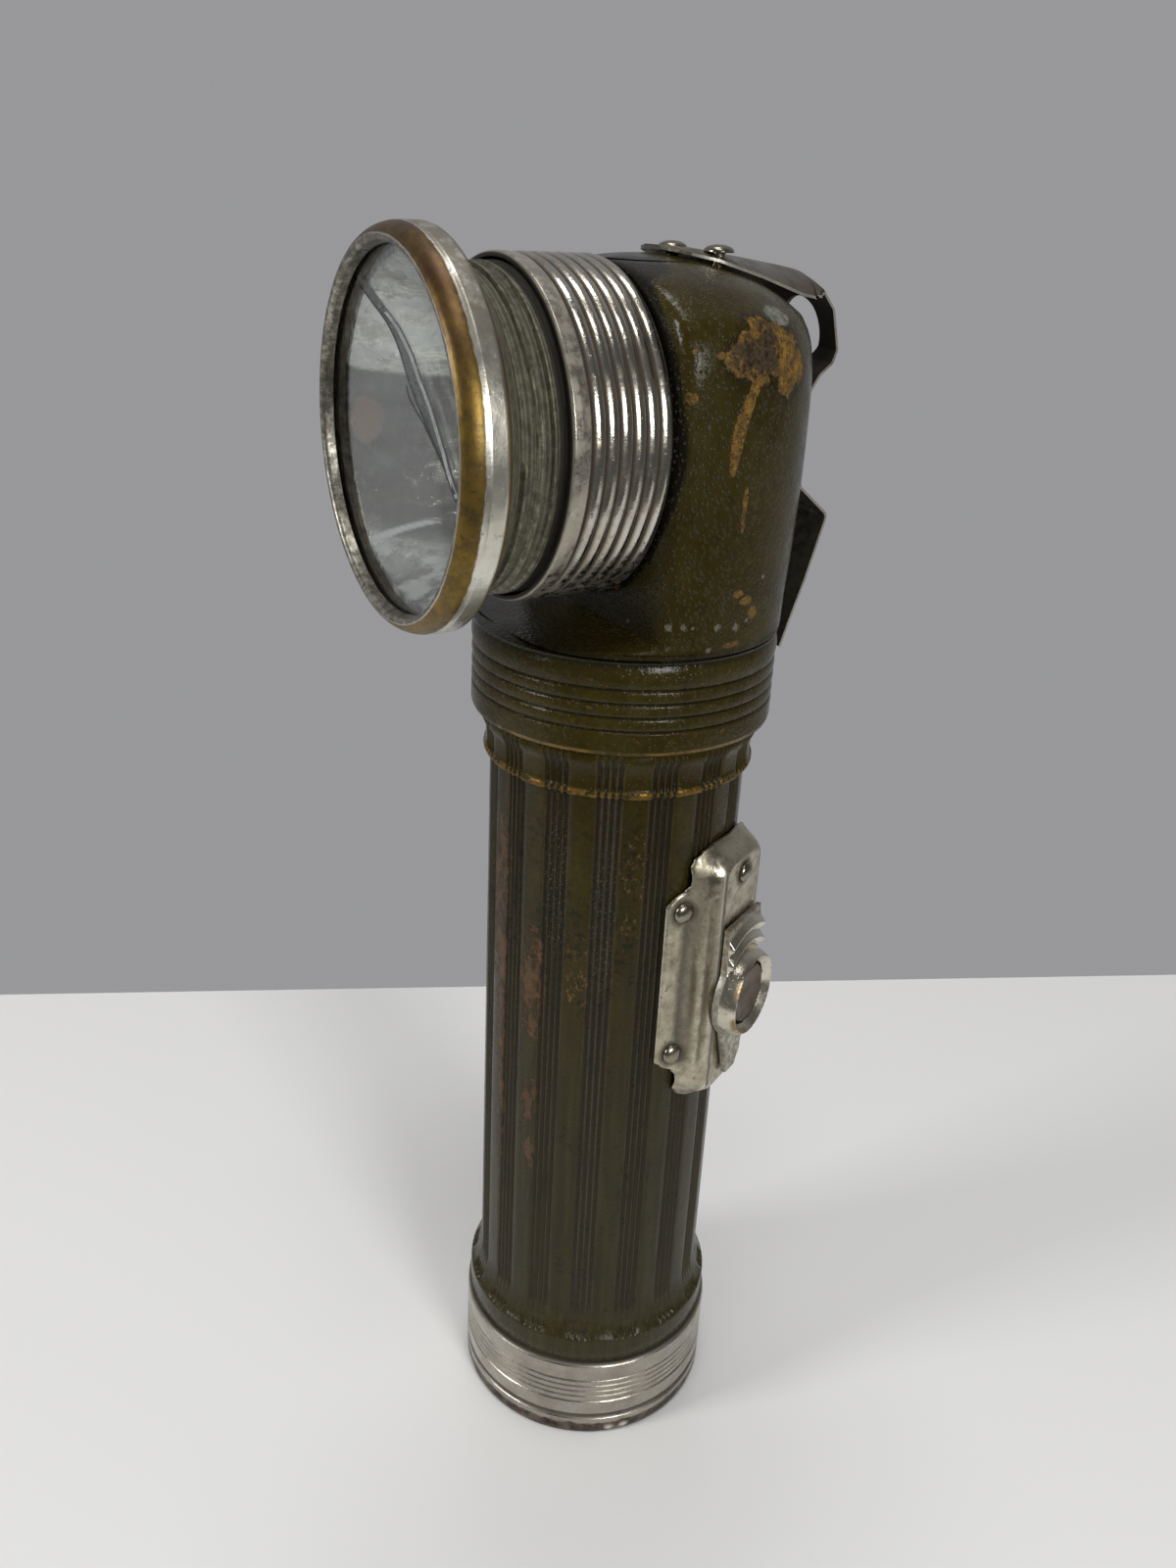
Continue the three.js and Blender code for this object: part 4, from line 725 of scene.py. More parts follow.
def head_enamel():
    """The head's enamel, from its scuffs out to the dust."""
    paint = enamel("head_enamel")
    head_scuffs(paint)
    head_painted_shade(paint)
    chip = head_chips(paint)
    gold = head_brass(paint)
    pale = head_pale_marks(paint)
    dust = paint.specks(0.6, 0.1, seed=3) * paint.cloud(0.46, 0.6, 0.2, 2, seed=8)
    paint.over(dust * 0.3, DUST)
    head_peel(paint)
    paint.bump(paint.noise(1.4, 3, 0.6, seed=6), 0.06)
    paint.bump(1 - (chip | gold), 0.1)
    paint.bump(pale, 0.15)
    paint.metal = gold * 0.85
    return paint.done(specular=0.18)


def plated(name, base=NICKEL, rough=(0.2, 0.38), tarnish=0.35, dirt_and_shade=None, marks=None, finish=None):
    """Worn nickel plate. dirt_and_shade and marks are functions from the paint to masks and colours;
    dirt_and_shade lays dirt and painted shade.
    """
    paint = Paint(name, metal=1.0)
    cloud = paint.cloud(0.38, 0.7, 0.3, 5, 0.65, seed=2)
    warm = tuple(a * b / c for a, b, c in zip(base, NICKEL_WARM, NICKEL))
    paint.color = paint.mix(cloud * 0.7, base, warm)
    shade = paint.cloud(0.45, 0.75, 0.16, 4, 0.6, seed=12)
    paint.over(shade * 0.45, tuple(0.45 * c for c in warm))
    pits = paint.cloud(0.6, 0.68, 1.1, 5, 0.72, seed=4)
    spots = paint.specks(0.7, 0.16, seed=5) * paint.cloud(0.46, 0.58, 0.25, 3, seed=6)
    worn = (pits | spots) * tarnish
    paint.rough = paint.blend(cloud, rough[0], rough[1])
    paint.over(worn, TARNISH, rough=0.6)
    if marks:
        mask, tone, metal = marks(paint)
        paint.over(mask, tone, rough=0.4, metal=metal)
    if dirt_and_shade:
        # Dirt, and painted shade where the function lays it
        paint.over(dirt_and_shade(paint), DIRT_SHADE_TONE, rough=0.75, metal=0.3)
    paint.bump(paint.noise(2.4, 4, 0.7, seed=8), 0.012)
    paint.bump(paint.noise(0.5, 3, 0.6, seed=10), 0.05)
    paint.bump(1 - worn, 0.018)
    if finish:
        finish(paint)
    return paint.done()


def sleeve_dirt_shade(paint):
    # Dirt in the rib valleys, darker in patches towards the bottom, and painted shade at the front lip and in
    # the bore
    radius = paint.lens_radius()
    distance = paint.lens_distance()
    mottle = paint.z.step(156, 146) * 0.6 * paint.cloud(0.45, 0.6, 0.8, 5, 0.75, seed=17)
    valley = radius.step(21.34, 21.22) * 0.75
    lip = distance.step(21.3, 21.55) * radius.step(21.6, 21.3)
    bore_shade = radius.step(20.98, 20.9)
    return valley | mottle | (lip | bore_shade) * 0.9


def sleeve_marks(paint):
    """Brown tarnish beside the valleys and in blotches, and a dull band at the front painted pale, a painted
    reflection.
    """
    radius = paint.lens_radius()
    side = radius.step(21.54, 21.32) * 0.75
    blotch = paint.cloud(0.55, 0.68, 0.35, 5, 0.7, seed=23) * 0.45
    tone = paint.tones((0.15, 0.095, 0.045), (0.075, 0.05, 0.028), 0.4, 0.6, 0.7, 4, 0.7, seed=24)
    # The front band is dull and painted pale: a painted reflection
    dull = paint.blend(paint.cloud(0.38, 0.58, 0.45, 6, 0.75, seed=28), 0.25, 0.9)
    band = paint.lens_distance().step(19.0, 19.4) * radius.step(21.2, 21.4) * dull
    tone = paint.mix(band, tone, (0.4, 0.375, 0.3))
    return side | blotch | band, tone, paint.blend(band, 0.8, 0.5)


def cap_groove_shade(paint):
    # Darkens the groove, and lays painted shade on the top edge under the tube's skirt
    groove = paint.tube_radius().step(21.2, 20.95) * paint.z.step(3.2, 3.6)
    return groove * 0.7 | paint.z.step(15.6, 16.0) * 0.5


def cap_dents(paint):
    """Two small round dents low on the cap's foot."""
    dents = [(on_tube(21.0, math.radians(a), 1.4), (0.75, 0.75, 0.6)) for a in (-17, -10)]
    return paint.spots(dents, soft=0.6)


def cap_marks(paint):
    """The rounded foot is worn brown and black, and its two dents are painted bright: a painted highlight."""
    foot = (paint.z + paint.shift(1.6, 0.35, 4, 0.65, seed=26)).step(2.9, 2.3)
    patchy = paint.blend(paint.cloud(0.4, 0.58, 0.4, 5, 0.7, seed=25), 0.8, 1.0)
    tone = paint.tones((0.085, 0.05, 0.034), (0.022, 0.016, 0.012), 0.4, 0.58, 0.5, 4, 0.7, seed=27)
    ribs = paint.tube_radius().step(21.22, 21.12) * 0.28
    # The dents are painted bright: a painted highlight
    dents = cap_dents(paint)
    return foot * patchy | ribs | dents, paint.mix(dents, tone, (0.62, 0.58, 0.5)), 0.7


def cap_surface(paint):
    """The dents stand in from the foot's face."""
    paint.bump(1 - cap_dents(paint), 0.3)


def bezel_marks(paint):
    """The roll's outer shoulder is worn to amber brass, redder at its top."""
    distance = paint.lens_distance()
    radius = paint.lens_radius()
    shift = paint.shift(0.9, 0.3, 5, 0.65, seed=29)
    front = (distance + shift).step(33.9, 34.2)
    roll = front * (radius + shift * 0.3).step(23.0, 23.25)
    rear = distance.step(31.45, 31.15) * radius.step(23.6, 24.0)
    red = paint.z.step(170, 184) * paint.blend(paint.cloud(0.38, 0.6, 0.45, 5, 0.75, seed=33), 0.45, 1.0)
    amber = paint.tones((0.18, 0.108, 0.009), (0.095, 0.058, 0.008), 0.4, 0.65, 0.5, 5, 0.7, seed=35)
    tone = paint.mix(red, amber, (0.068, 0.026, 0.004))
    tone = paint.mix(paint.cloud(0.6, 0.66, 0.9, 5, 0.75, seed=36) * 0.8, tone, (0.04, 0.026, 0.01))

    # The neck has gone green, the roll's inner half is grey with brown spots, darkened by tarnish and by
    # painted shade that reaches further in on the left, and the band's top is dull
    neck = radius.step(23.9, 23.3) * distance.step(31.0, 30.6)
    green = paint.tones((0.3, 0.29, 0.185), (0.135, 0.13, 0.078), 0.4, 0.6, 0.8, 5, 0.75, seed=38)
    crust = paint.spots([(on_lens(20.5, math.radians(-12), 25), (4, 3, 3.5))], shift, 0.3)
    green = paint.mix(crust * paint.specks(2.2, 0.35, seed=42), green, (0.3, 0.31, 0.27))
    inward = radius - paint.x.step(0, -10) * 0.55
    mottle = paint.blend(paint.cloud(0.34, 0.58, 0.9, 5, 0.8, seed=47), 0.45, 1.0)
    inner = distance.step(34.2, 34.8) * inward.step(23.25, 22.85) * mottle
    patchy = paint.cloud(0.38, 0.56, 0.3, 5, 0.7, seed=49)
    band = distance.step(33.9, 33.7) * radius.step(24.0, 24.3) * paint.z.step(176, 185) * patchy
    tone = paint.mix(band, tone, (0.16, 0.125, 0.08))
    tone = paint.mix(neck, tone, green)
    tone = paint.mix(inner * (1 - roll), tone, (0.055, 0.046, 0.034))
    mask = roll * 0.97 | rear * 0.9 | neck * 0.9 | inner * 0.85 | band * 0.75
    return mask, tone, 0.8


def neck_dirt_shade(paint):
    """The screwed neck is dull, pitted and green with age, and painted shade darkens it where it goes into
    the sleeve.
    """
    distance = paint.lens_distance()
    neck = paint.lens_radius().step(23.9, 23.3) * distance.step(31.2, 30.9)
    mottle = paint.blend(paint.cloud(0.36, 0.62, 1.1, 6, 0.8, seed=37), 0.1, 0.6)
    valley = paint.lens_radius().step(20.25, 20.08) * 0.6
    # Painted shade where the neck goes into the sleeve
    return neck * (mottle | valley | distance.step(23.0, 22.3))


def neck_surface(paint):
    """Fine turned ridges on the bezel's neck."""
    distance = paint.lens_distance()
    neck = paint.lens_radius().step(21.6, 21.2) * distance.step(28.6, 28.2)
    paint.bump(neck * paint.math("SINE", distance * (TURN / 1.15)), 0.16)
    paint.bump(neck * paint.noise(1.6, 5, 0.8, seed=48), 0.1)


def plate_grime(paint):
    """Dirt along the creases of the stamping and round its rivets."""
    out, across = paint.switch_place()
    blur = paint.shift(0.9, 0.6, 4, 0.7, seed=81)
    side = abs(across) + blur
    flat = paint.z.near(SWITCH_HEIGHT, 17.5)
    crease = side.near(8.6, 1.1) * flat.step(0.0, 0.25)
    line = side.near(6.95, 0.45) * flat.step(0.0, 0.2) * 0.6
    rivets = [on_tube(FLANGE_FACE, SWITCH_ANGLE + s * PLATE_RIVET_ARC, SWITCH_HEIGHT + e * PLATE_RIVET_UP)
              for s in (-1, 1) for e in (-1, 1)]
    rings = [(place, (2.4, 2.4, 2.4)) for place in rivets]
    rings.append((on_switch(CHANNEL_FACE, 0, SWITCH_HEIGHT + CHANNEL_RIVET_UP), (2.3, 2.3, 2.3)))
    rings = paint.spots(rings, blur * 0.4, 0.25)
    foot = paint.cloud(0.42, 0.74, 0.45, 5, 0.62, seed=83) * 0.55
    track = out.step(22.2, 22.5) * side.near(5.6, 0.7)
    return crease * 0.75 | line | rings * 0.75 | foot | track * 0.8


def plate_marks(paint):
    """A painted highlight along the channel's rounded edges, and brown in streaks beside them."""
    out, across = paint.switch_place()
    blur = paint.shift(0.5, 0.5, 4, 0.7, seed=82, stretch=(1, 1, 0.15))
    side = abs(across) + blur
    # Painted highlight along the channel's rounded edges
    bright = side.near(5.75, 0.5) * out.step(20.6, 20.9)
    streaks = paint.cloud(0.32, 0.5, 0.35, 4, 0.6, seed=84, stretch=(1, 1, 0.3))
    brown = (side.near(6.7, 0.6) | side.near(7.9, 0.4)) * streaks * paint.z.near(SWITCH_HEIGHT, 18)
    tone = paint.mix(bright, (0.12, 0.085, 0.045), (0.8, 0.78, 0.69))
    return bright * 0.7 | brown * 0.85, tone, 0.95


def slide_marks(paint):
    """Brass at the worn rim of the boss and on the crests beside it."""
    out, across = paint.switch_place()
    rim = out.step(25.3, 26.0) * paint.cloud(0.4, 0.55, 0.35, 4, seed=39) * across.step(1.5, -2.5)
    crest = out.step(23.9, 23.6) * paint.z.step(90.5, 92) * paint.cloud(0.4, 0.55, 0.6, 4, seed=40)
    return (rim | crest * 0.6) * 0.85, (0.24, 0.145, 0.035), 0.9


def slide_grime(paint):
    """Dirt low on the slide's face and at the foot of the boss."""
    low = paint.switch_place()[0].step(24.0, 23.75)
    mottle = paint.blend(paint.cloud(0.4, 0.58, 0.9, 5, 0.75, seed=85), 0.35, 1.0)
    return low * mottle * 0.65


def clip_shade_dirt(paint):
    """Painted shade makes the side towards the head almost black; patchy dirt at the end near the rivets."""
    normal = paint.facing()
    inner = normal[1].step(-0.3, -0.6) | normal[2].step(-0.3, -0.6)
    foot = paint.y.step(13, 9) * paint.cloud(0.46, 0.58, 0.7, 5, 0.75, seed=87)
    flat = abs(normal[0]).step(0.8, 0.6)
    low = paint.z.step(160, 155) * paint.cloud(0.4, 0.58, 0.6, 5, 0.75, seed=88)
    dark = 0.86 - low * 0.45
    # Painted shade on the side towards the head, lighter in patches low down
    inner_shade = inner * paint.y.step(8, 12) * dark
    return flat * (inner_shade | foot * 0.6)


def clip_marks(paint):
    """Rust colour at the bends, and bright cut edges."""
    height = paint.z + paint.shift(2.2, 0.5, 5, 0.7, seed=89)
    bends = paint.y.step(21, 23.5) * (height.near(185.2, 1.9) | height.near(175.4, 1.6))
    blotch = paint.cloud(0.52, 0.66, 0.3, 5, 0.7, seed=91) * 0.55
    rust = bends * 0.85 | blotch
    edge = abs(paint.facing()[0]).step(0.6, 0.8)
    bright = edge * (1 - rust * 0.5)
    tone = paint.mix(bright, (0.085, 0.052, 0.022), (0.52, 0.49, 0.41))
    return rust | edge * 0.9, tone, 0.8


def plain(name, color, rough, metal=0.0, wear=0.4, dark=(0.02, 0.018, 0.015)):
    """Material with mottling, dirt and a fine bump for the pieces inside."""
    paint = Paint(name, color, metal=metal)
    cloud = paint.cloud(0.4, 0.72, 0.5, 5, 0.65, seed=2)
    spots = paint.cloud(0.6, 0.72, 1.7, 4, 0.7, seed=5)
    paint.over((cloud * 0.6 | spots) * wear, dark)
    paint.rough = paint.blend(cloud, rough, min(1.0, rough + 0.2))
    paint.bump(paint.noise(2.0, 4, 0.7, seed=8), 0.03)
    return paint.done()


def clear_glass(name):
    paint = Paint(name, (0.93, 0.96, 0.95))
    paint.rough = paint.blend(paint.cloud(0.4, 0.7, 0.25, 4, 0.6, seed=3), 0.0, 0.05)
    return paint.done(ior=1.5, transmission=1.0)


def crack_paint(name, color, rough, alpha):
    paint = Paint(name, rough=rough)
    cloud = paint.cloud(0.35, 0.65, 0.9, 4, 0.7, seed=3)
    paint.color = paint.mix(cloud, color, tuple(0.86 * c for c in color))
    return paint.done(alpha=paint.blend(cloud, alpha, alpha * 0.8))


def silver_blur(paint):
    """Noise that frays the edges of the lines and clouds."""
    return paint.shift(1.6, 0.35, 5, 0.7, seed=14)


def silver_lines(paint):
    """Darker below a sloping line, a painted reflection, with a pinkish spot and a bright line there, a
    painted glint. Gives the three masks.
    """
    blur = silver_blur(paint)
    # Painted reflection: darker below a sloping line, like a horizon
    slope = paint.z + paint.x * 0.243 + blur * 0.5
    reflected_dark_below = slope.step(167.6, 166.9) * (paint.z + blur).step(149, 153)
    paint.over(reflected_dark_below * 0.7, (0.17, 0.166, 0.148))
    fine = paint.cloud(0.5, 0.64, 1.0, 5, 0.75, seed=16, stretch=(1, 1, 0.12))
    paint.over(reflected_dark_below * fine * 0.45, (0.5, 0.49, 0.43))
    broad = paint.cloud(0.44, 0.6, 0.17, 5, 0.65, seed=15, stretch=(1, 0.6, 1))
    paint.over(broad * 0.62, (0.25, 0.24, 0.205))
    spot = paint.spots([((-19.6, -29.2, 165.4), (1.7, 2.5, 3.0))], blur * 0.25, 0.15)
    paint.over(spot * 0.85, (0.62, 0.47, 0.38))
    # A painted glint: a bright line of small spots
    glint = [((-14.2 + 0.3 * i, -31.9 + 0.5 * i, 149.7 + 0.34 * i), (0.6, 0.9, 0.36)) for i in range(12)]
    line = paint.spots(glint, soft=0.6)
    paint.over(line, (0.99, 0.99, 0.98))
    return reflected_dark_below, spot, line


def silver_clouds(paint, reflected_dark_below):
    """Milky clouds above and low in the bowl, and yellowish glare near its middle. Gives both masks."""
    milk = paint.cloud(0.4, 0.56, 0.2, 5, 0.65, seed=18)
    clouds = (1 - reflected_dark_below) * (paint.z.step(166, 169) | paint.z.step(155, 151)) * milk
    glare = paint.spots([((-11.8, -20.2, 166.5), (4.2, 4.2, 9))], silver_blur(paint), 0.4)
    glare = glare * paint.cloud(0.34, 0.5, 0.4, 5, 0.7, seed=20)
    paint.over(clouds, (0.97, 0.965, 0.92))
    paint.over(glare, (0.98, 0.95, 0.8))
    return clouds, glare


def silver():
    """Hazed silver plate with streaks along the bowl."""
    paint = Paint("reflector_silver")
    haze = paint.cloud(0.36, 0.66, 0.22, 5, 0.7, seed=3)
    paint.color = paint.mix(haze, (0.93, 0.92, 0.86), (0.6, 0.58, 0.51))
    angle = paint.math("ARCTAN2", paint.z - LENS_AXIS, paint.x)
    ray = paint.math("SINE", angle * 23.0) * 0.1
    streak = (paint.noise(0.3, 6, 0.8, seed=13, stretch=(1, 0.4, 1)) + ray).step(0.46, 0.66)
    paint.over(streak * 0.4, (0.3, 0.29, 0.25))
    reflected_dark_below, spot, line = silver_lines(paint)
    clouds, glare = silver_clouds(paint, reflected_dark_below)
    specks = paint.specks(0.8, 0.12, seed=5) * paint.cloud(0.48, 0.6, 0.3, 3, seed=6)
    paint.over(specks * 0.7, (0.16, 0.14, 0.1))
    paint.rough = paint.blend(haze, 0.12, 0.28)
    paint.rough = paint.blend(line | spot, paint.rough, 0.6)
    paint.bump(paint.noise(0.35, 4, 0.6, seed=9), 0.22)
    paint.bump(streak, 0.03)
    paint.metal = 1 - (clouds * 0.65 | glare * 0.85 | line)
    return paint.done()


# Tube pieces

def flute_angles():
    """Columns round the tube, close together over the flutes: (angle, depth share)."""
    columns = []
    group = TURN / FLUTE_GROUPS
    half = FLUTE_HALF / CASE_RADIUS
    per_flute = 8
    flat_steps = 6
    for g in range(FLUTE_GROUPS):
        middle = (g + 0.5) * group
        for i in range(FLUTES * per_flute + 1):
            offset = -half + 2 * half * i / (FLUTES * per_flute)
            columns.append((middle + offset, math.sin(math.pi * (i % per_flute) / per_flute) ** 1.4))
        flat = group - 2 * half
        for i in range(1, flat_steps):
            columns.append((middle + half + flat * i / flat_steps, 0.0))
    return columns


def case_outside():
    """(radius, height, share) rows up the tube; share is that of the flutes' depth there."""
    skirt = [
        (SKIRT_RADIUS - 0.25, SKIRT_BASE), (SKIRT_RADIUS, SKIRT_BASE + 0.3), (SKIRT_RADIUS, SKIRT_BASE + 2.5),
        (SKIRT_RADIUS, SKIRT_TOP + 0.15, 1.3),
    ]
    for i in range(1, 25):
        share = i / 24
        radius = CASE_RADIUS + (SKIRT_RADIUS - 0.35 - CASE_RADIUS) * (1 - share) ** 2.3
        skirt.append((radius, SKIRT_TOP + 0.5 + share * (SHOULDER_TOP - SKIRT_TOP - 0.5)))
    outer = []
    for radius, height in soften(skirt, 0, 8):
        share = (height - SKIRT_TOP) / (SHOULDER_TOP - SKIRT_TOP)
        dimple = 1.25 * math.sin(math.pi * share / 0.4) if 0 < share < 0.4 else 0.0
        outer.append((radius, height, max(dimple, min(1.0, (share - 0.45) / 0.5), 0.0)))
    outer += [(CASE_RADIUS, SHOULDER_TOP + (RING_BASE - SHOULDER_TOP) * i / 12, 1.0) for i in range(1, 13)]
    ring = [
        (19.4, 119.42), (19.78, 119.6), (20.0, 119.9), (20.03, 120.2), (19.95, 120.5), (19.75, 120.85),
        (19.66, 121.3), (19.68, 122.4), (19.76, 123.4), (19.9, 124.0), (20.15, 124.4), (20.35, 124.8),
        (20.42, 125.2), (20.38, 125.6), (20.25, 126.0), (20.15, 126.6),
    ]
    return outer + [(radius, height, 1.15 if height < 125.3 else 0.5) for radius, height in ring]


def case_piece():
    """The fluted tube, with a plain lap at its top and a plain bore."""
    plain_rows = [
        (LAP_RADIUS - 0.3, 127.2), (LAP_RADIUS, 127.8), (LAP_RADIUS, CASE_TOP),
        (LAP_RADIUS - SHEET, CASE_TOP), (LAP_RADIUS - SHEET, 127.9), (19.7, 126.0), (19.2, 121.0),
        (CASE_BORE, 120.0), (CASE_BORE, SHOULDER_TOP + SHEET), (18.9, 23.5),
        (SKIRT_RADIUS - SHEET, SKIRT_TOP), (SKIRT_RADIUS - SHEET, SKIRT_BASE),
    ]
    columns = flute_angles()
    rings = []
    for radius, height, share in case_outside() + [(r, h, 0.0) for r, h in plain_rows]:
        rings.append([on_tube(radius - FLUTE_DEPTH * depth * share, angle, height)
                      for angle, depth in columns])
    return skin("case_tube", rings, loop=True, sharp=50)


def cap_outline():
    face, groove = CAP_RADIUS, 20.88
    outside = soften([
        (0, 0), (20.3, 0, 0.2), (21.05, 0.35, 0.4), (face, 1.3, 0.8), (face, 3.5, 0.25), (groove, 3.85, 0.15),
        (groove, 4.5, 0.15), (face, 4.85, 0.3), (face, 7.45, 0.2), (21.0, 7.75),
    ], 0.2, 4)
    outside += beads(face, depth=0.19, start=7.75, pitch=1.15, count=4, power=1.8)[1:]
    return outside + soften([
        (21.08, 12.35), (face, 12.7, 0.2), (face, 15.5, 0.4), (20.9, 16.0, 0.2), (19.3, 16.0, 0.1),
        (19.3, 22.3, 0.1), (18.7, 22.3, 0.1), (18.7, 15.3, 0.1), (20.6, 15.3, 0.2), (20.6, 1.0, 0.3),
        (0, 1.0),
    ], 0.2, 3)[1:]


def cap_piece():
    steps = 144
    rings = []
    for radius, height in cap_outline():
        ring = []
        for i in range(steps):
            angle = TURN * i / steps
            reach = radius
            if radius > 20.9 and height < 3:
                for degrees, level, width in CAP_DENTS:
                    off = math.remainder(angle - math.radians(degrees), TURN) * radius
                    apart = off ** 2 + (height - level) ** 2
                    reach -= DENT_DEPTH * math.exp(-apart / (0.4 * width) ** 2)
            ring.append(on_tube(reach, angle, height))
        rings.append(ring)
    return skin("cap_shell", rings, sharp=40)


# Head pieces

def head_columns(radius, front):
    """Angles of one ring: the same number everywhere, gathered at that ring's own corners."""
    facing = HEAD_FRONT / HEAD_RADIUS if front >= radius else front / radius
    corner = math.acos(min(facing, 0.9))
    near = math.radians(13)
    inner, outer = corner - near, corner + near
    angles = [-inner + 2 * inner * i / 24 for i in range(24)]
    angles += [inner + 2 * near * i / 14 for i in range(14)]
    angles += [outer + (TURN - 2 * outer) * i / 64 for i in range(64)]
    angles += [-outer + 2 * near * i / 14 for i in range(14)]
    return angles


def head_ring(radius, height, front):
    ring = []
    for angle in head_columns(radius, front):
        reach = head_reach(angle, radius, front)
        ring.append((reach * math.sin(angle), -reach * math.cos(angle), height))
    return ring


def head_piece():
    whole = 99  # a front so far out that the ring stays round
    axis = 1e-4
    collar = soften([
        (21.2, COLLAR_BASE), (21.75, COLLAR_BASE, 0.2), (COLLAR_RADIUS, 127.5, 0.3),
        (COLLAR_RADIUS, 130.0, 0.25), (21.6, BEADS_BASE),
    ], 0.2)
    collar += beads(COLLAR_RADIUS, depth=0.32, start=BEADS_BASE, pitch=1.93, count=3)[1:]
    collar += [
        (21.72, 136.25), (21.85, 136.6), (21.95, 137.2), (21.98, 137.9), (21.93, 138.5), (21.8, COLLAR_TOP),
        (21.62, 139.35), (21.6, 139.6),
    ]
    ledge = [
        (21.75, 139.9, 21.75), (21.95, 140.3, 20.2), (22.02, 140.7, 17.2), (22.06, 141.1, 12.6),
        (22.1, 141.6, 9.0), (22.12, 142.4, 7.7),
    ]
    dome = [(22.2, 145.0), (22.35, 147.6)]
    dome += [(r * HEAD_RADIUS, COLLAR_TOP + h * HEAD_HEIGHT) for r, h in smooth_line(HEAD_OUTLINE[1:], 5)]
    inside = [(axis, COLLAR_TOP + HEAD_HEIGHT - HEAD_WALL)]
    for r, h in HEAD_OUTLINE[-2::-1]:
        inside.append((r * HEAD_RADIUS - HEAD_WALL, COLLAR_TOP + h * HEAD_HEIGHT - HEAD_WALL))
    rings = [head_ring(radius, height, whole) for radius, height in collar]
    rings += [head_ring(*row) for row in ledge]
    rings += [head_ring(radius, height, HEAD_FRONT) for radius, height in dome[:-1]]
    rings.append(head_ring(axis, dome[-1][1], HEAD_FRONT))
    rings += [head_ring(radius, height, HEAD_FRONT - HEAD_WALL) for radius, height in inside]
    rings += [head_ring(r, h, whole) for r, h in ((21.3, 139.9), (21.1, COLLAR_TOP), (21.1, COLLAR_BASE))]
    head = skin("head_dome", rings, loop=True, sharp=45)
    hole = lathe("hole", [(0, 0), (19.5, 0), (19.5, 21), (0, 21)], on_lens, steps=96)
    return cut(head, hole, sharp=45)


def sleeve_piece():
    outline = soften([(18.6, 6.7), (20.2, 6.7, 0.1), (20.2, 7.75, 0.1), (20.3, 7.8), (21.14, 7.85)], 0.1)
    outline += beads(SLEEVE_RADIUS, depth=0.46, start=7.85, pitch=1.83, count=6, steps=10, power=1.25)[1:]
    outline += soften([
        (21.14, 18.83), (21.5, 19.3, 0.2), (21.62, 20.3, 0.4), (SLEEVE_RADIUS, 21.3, 0.3),
        (21.3, 21.65, 0.15), (20.85, 21.65, 0.1), (20.85, 8.5, 0.1), (18.6, 8.5),
    ], 0.2)[1:]
    return lathe("sleeve_shell", outline, on_lens, steps=160, sharp=50)


def ridge(phase):
    """Height share of a rolled screw ridge, by turns from its crest."""
    off = abs(phase - round(phase)) * 2.0
    return max(0.0, min(1.0, (0.47 - off) / 0.24)) if off < 0.47 else 0.0


def bezel_piece():
    """The lens ring: its screwed neck, cone, band and half-round roll, and the bore inside."""
    steps = 160
    neck_start, neck_length, neck_rows = 13.6, 13.6, 120
    pitch = 2.0
    rings = []
    for row in range(neck_rows + 1):
        distance = neck_start + neck_length * row / neck_rows
        ring = []
        for i in range(steps):
            angle = TURN * i / steps
            turn = (distance - 15.1) / pitch - angle / TURN
            lift = ridge(turn) if -0.25 < turn < 5.25 else 0.0
            ring.append(on_lens(20.0 + 0.5 * lift, angle, distance))
        rings.append(ring)
    front = soften([
        (20.0, 27.2), (20.0, 27.5, 0.8), (24.2, 30.75, 0.5), (24.56, 31.05, 0.25), (24.64, 31.5, 0.3),
        (24.64, 33.3, 0.2), (24.56, 33.6),
    ], 0.3, 5)[1:]
    for i in range(1, 17):
        angle = math.pi * i / 16
        rise = 1.9 * math.sin(angle) ** 0.9 + 0.8 * (1 - math.cos(angle))
        front.append((23.36 + 1.24 * math.cos(angle), 33.7 + rise))
    front += soften([
        (22.1, 35.3), (22.0, 34.9, 0.1), (24.1, 34.9, 0.1), (24.1, 31.4, 0.3), (19.5, 27.9, 0.8),
        (19.5, 13.6),
    ], 0.2, 4)[1:]
    rings += [circle(on_lens, radius, distance, steps) for radius, distance in front]
    return skin("bezel_shell", rings, loop=True, sharp=45)


def glass_piece():
    back, front = 32.8, 34.6
    outline = soften([
        (0, back), (23.6, back, 0.2), (23.8, 33.0, 0.2), (23.8, 34.4, 0.3), (23.5, front, 0.2), (0, front),
    ], 0.2)
    return lathe("lens_disc", outline, on_lens, steps=160, sharp=60)


def strip_piece(name, left, right, front, back):
    """Thin closed ribbon in the glass between two lines of (across, up) points."""
    thick = 0.06
    rings = []
    for (a, b), (c, d) in zip(smooth_line(left, 5), smooth_line(right, 5)):
        rings.append([(a, -front, LENS_AXIS + b), (c, -back, LENS_AXIS + d),
                      (c, thick - back, LENS_AXIS + d), (a, thick - front, LENS_AXIS + b)])
    return skin(name, rings, ends=True, sharp=30)


def beside(line, across, up):
    return [(a + across, b + up) for a, b in line]


